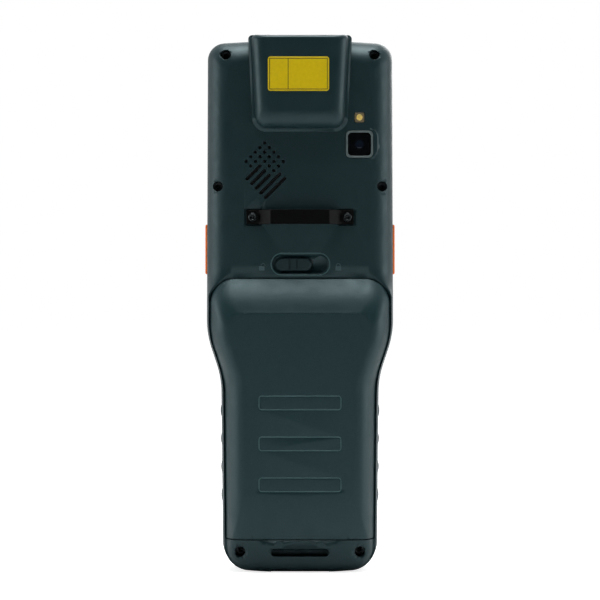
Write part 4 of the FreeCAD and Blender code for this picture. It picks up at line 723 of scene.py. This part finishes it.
def digit_mark(node, text):
    """A printed figure on a key, read from the display side."""
    x, y, z = key_face(node)
    writing = bpy.data.curves.new(node + "_text", "FONT")
    writing.body = text
    writing.size = DIGIT_HEIGHT
    writing.align_x = "CENTER"
    writing.align_y = "CENTER"
    writing.extrude = MARK_DEPTH
    writing.resolution_u = 6
    holder = bpy.data.objects.new(node + "_text", writing)
    bpy.context.scene.collection.objects.link(holder)
    bpy.context.view_layer.update()
    mesh = bpy.data.meshes.new_from_object(holder.evaluated_get(
        bpy.context.evaluated_depsgraph_get()))
    bpy.data.objects.remove(holder)
    flat_x = [v.co.x for v in mesh.vertices]
    flat_y = [v.co.y for v in mesh.vertices]
    mesh.transform(Matrix.Translation((-(min(flat_x) + max(flat_x)) / 2,
                                       -(min(flat_y) + max(flat_y)) / 2, 0)))
    mesh.transform(Matrix(((-1, 0, 0, x), (0, 0, 1, y), (0, 1, 0, z), (0, 0, 0, 1))))
    form = bmesh.new()
    form.from_mesh(mesh)
    bmesh.ops.remove_doubles(form, verts=form.verts, dist=10 * SAME_PLACE)
    new_piece(node + "_mark", form, key_ink, node, smooth=False)


def stroke_mark(node, lines, ink, width=STROKE_WIDTH):
    """A printed symbol of straight strokes on a key, read from the display side."""
    x, y, z = key_face(node)
    form = bmesh.new()
    for order, (x0, z0, x1, z1) in enumerate(lines):
        start = Vector((x - x0 * mm, z + z0 * mm))
        end = Vector((x - x1 * mm, z + z1 * mm))
        ahead = (end - start).normalized() * width / 2
        side = Vector((-ahead.y, ahead.x))
        points = [start - ahead - side, end + ahead - side, end + ahead + side, start - ahead + side]
        top = y + MARK_DEPTH + STROKE_LIFT * order
        slab_points(form, [(p.x, p.y) for p in points], top, y - MARK_DEPTH)
    new_piece(node + "_mark", form, ink, node, smooth=False)


dress("key_scan", orange)
scan_bars = [(place, -BAR_HALF, place, BAR_HALF) for place in BAR_PLACES]
stroke_mark("key_scan", scan_bars, key_ink_dark, BAR_WIDTH)
for name, text in digits.items():
    dress("key_" + name, key_plastic)
    digit_mark("key_" + name, text)
for name, lines in strokes.items():
    dress("key_" + name, key_plastic)
    stroke_mark("key_" + name, lines, key_ink)


# Boards, shields and modules
# Green laminate boards carry the chips under pressed shields, inside a light metal frame.
# They show only when the battery cover is open or the case is taken apart.

BLADE_REACH = 1.2 * mm
BLADE_EDGE = 0.02 * mm

board_green = moulded("board_green", tone(20, 84, 54), 0.45, 800.0, 0.006 * mm, 0.2)
cast_metal = moulded("cast_metal", tone(150, 153, 155), 0.5, 900.0, 0.02 * mm, 0.06)
cast_metal.node_tree.nodes["Principled BSDF"].inputs["Metallic"].default_value = 1.0
gold = moulded("gold_contact", tone(226, 182, 92), 0.25, 1200.0, 0.002 * mm, 0.05)
gold.node_tree.nodes["Principled BSDF"].inputs["Metallic"].default_value = 1.0
battery_case = moulded("battery_case", tone(58, 61, 64), 0.48, 1400.0, 0.012 * mm, 0.08)
for node in ("main_board", "keypad_board", "side_switches"):
    dress(node, board_green)
for node in ("scan_bracket", "shield_cans", "usb_connector", "dome_switches"):
    dress(node, sheet_steel)
for node in ("scan_engine", "rear_camera"):
    dress(node, module_black)
dress("dock_contacts", gold)
contacts = dress("battery_contacts", gold)
contacts.data.materials.append(module_black)
block_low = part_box("battery_contacts")[0].z + BLADE_REACH
for face in contacts.data.polygons:
    if face.center.z > block_low - BLADE_EDGE:
        face.material_index = 1
dress("chassis", cast_metal)
dress("battery_pack", battery_case)


# Floor, light and surround
# A plain pale floor carries the terminal, under four soft boxes and a dim surround.
# The surround is bright behind and beside the case, and dim on the side of the camera.

FLOOR_HALF = 6.0
FLOOR_GLOW = 0.76
BACKDROP = (1.0, 1.0, 1.0, 1.0)
SKY_NEAR = -0.45
SKY_FAR = 0.15
SKY_DIM = 0.02
SKY_BRIGHT = 0.7
AIM = (0, 0, 0.1)

floor_mesh = bpy.data.meshes.new("floor")
floor_form = bmesh.new()
bmesh.ops.create_grid(floor_form, x_segments=1, y_segments=1, size=FLOOR_HALF)
floor_form.to_mesh(floor_mesh)
floor_form.free()
floor = bpy.data.objects.new("floor", floor_mesh)
bpy.context.scene.collection.objects.link(floor)

floor_material = bpy.data.materials.new("floor_pale")
floor_material.use_nodes = True
floor_tree = floor_material.node_tree
floor_tree.nodes.clear()
floor_out = floor_tree.nodes.new("ShaderNodeOutputMaterial")
floor_mix = floor_tree.nodes.new("ShaderNodeAddShader")
floor_diffuse = floor_tree.nodes.new("ShaderNodeBsdfDiffuse")
floor_diffuse.inputs["Color"].default_value = (0.8, 0.8, 0.8, 1.0)
floor_glow = floor_tree.nodes.new("ShaderNodeEmission")
floor_path = floor_tree.nodes.new("ShaderNodeLightPath")
floor_level = floor_tree.nodes.new("ShaderNodeMath")
floor_level.operation = "MULTIPLY"
floor_level.inputs[1].default_value = FLOOR_GLOW
floor_seen = floor_tree.nodes.new("ShaderNodeMath")
floor_seen.operation = "MAXIMUM"
floor_tree.links.new(floor_path.outputs["Is Camera Ray"], floor_seen.inputs[0])
floor_tree.links.new(floor_path.outputs["Is Transmission Ray"], floor_seen.inputs[1])
floor_tree.links.new(floor_seen.outputs[0], floor_level.inputs[0])
floor_tree.links.new(floor_level.outputs[0], floor_glow.inputs["Strength"])
floor_tree.links.new(floor_diffuse.outputs[0], floor_mix.inputs[0])
floor_tree.links.new(floor_glow.outputs[0], floor_mix.inputs[1])
floor_tree.links.new(floor_mix.outputs[0], floor_out.inputs["Surface"])
floor_mesh.materials.append(floor_material)

world = bpy.data.worlds.new("surround")
bpy.context.scene.world = world
world.use_nodes = True
sky = world.node_tree
sky.nodes.clear()
sky_out = sky.nodes.new("ShaderNodeOutputWorld")
sky_path = sky.nodes.new("ShaderNodeLightPath")
sky_seen = sky.nodes.new("ShaderNodeMath")
sky_seen.operation = "MAXIMUM"
sky.links.new(sky_path.outputs["Is Camera Ray"], sky_seen.inputs[0])
sky.links.new(sky_path.outputs["Is Transmission Ray"], sky_seen.inputs[1])
sky_place = sky.nodes.new("ShaderNodeTexCoord")
sky_split = sky.nodes.new("ShaderNodeSeparateXYZ")
sky.links.new(sky_place.outputs["Generated"], sky_split.inputs["Vector"])
sky_shade = sky.nodes.new("ShaderNodeMapRange")
sky_shade.inputs["From Min"].default_value = SKY_NEAR
sky_shade.inputs["From Max"].default_value = SKY_FAR
sky_shade.inputs["To Min"].default_value = SKY_DIM
sky_shade.inputs["To Max"].default_value = SKY_BRIGHT
sky.links.new(sky_split.outputs["Y"], sky_shade.inputs["Value"])
sky_white = sky.nodes.new("ShaderNodeBackground")
sky_white.inputs["Color"].default_value = BACKDROP
sky_white.inputs["Strength"].default_value = 1.0
sky_light = sky.nodes.new("ShaderNodeBackground")
sky_light.inputs["Color"].default_value = (0.98, 0.99, 1.0, 1.0)
sky.links.new(sky_shade.outputs["Result"], sky_light.inputs["Strength"])
sky_mix = sky.nodes.new("ShaderNodeMixShader")
sky.links.new(sky_seen.outputs[0], sky_mix.inputs["Fac"])
sky.links.new(sky_light.outputs[0], sky_mix.inputs[1])
sky.links.new(sky_white.outputs[0], sky_mix.inputs[2])
sky.links.new(sky_mix.outputs[0], sky_out.inputs["Surface"])


def soft_box(name, place, size, power):
    """A square soft lamp aimed at the middle of the case."""
    lamp = bpy.data.lights.new(name, "AREA")
    lamp.size = size
    lamp.energy = power
    holder = bpy.data.objects.new(name, lamp)
    holder.location = place
    holder.rotation_euler = (Vector(AIM) - Vector(place)).to_track_quat("-Z", "Y").to_euler()
    bpy.context.scene.collection.objects.link(holder)


soft_box("top_box", (0.0, -0.06, 0.85), 0.5, 6.6)
soft_box("left_box", (-0.75, -0.02, 0.22), 0.4, 1.4)
soft_box("right_box", (0.75, -0.02, 0.22), 0.4, 1.3)
soft_box("far_box", (0.25, 0.8, 0.5), 0.6, 4.0)

bpy.context.scene.view_settings.view_transform = "Standard"
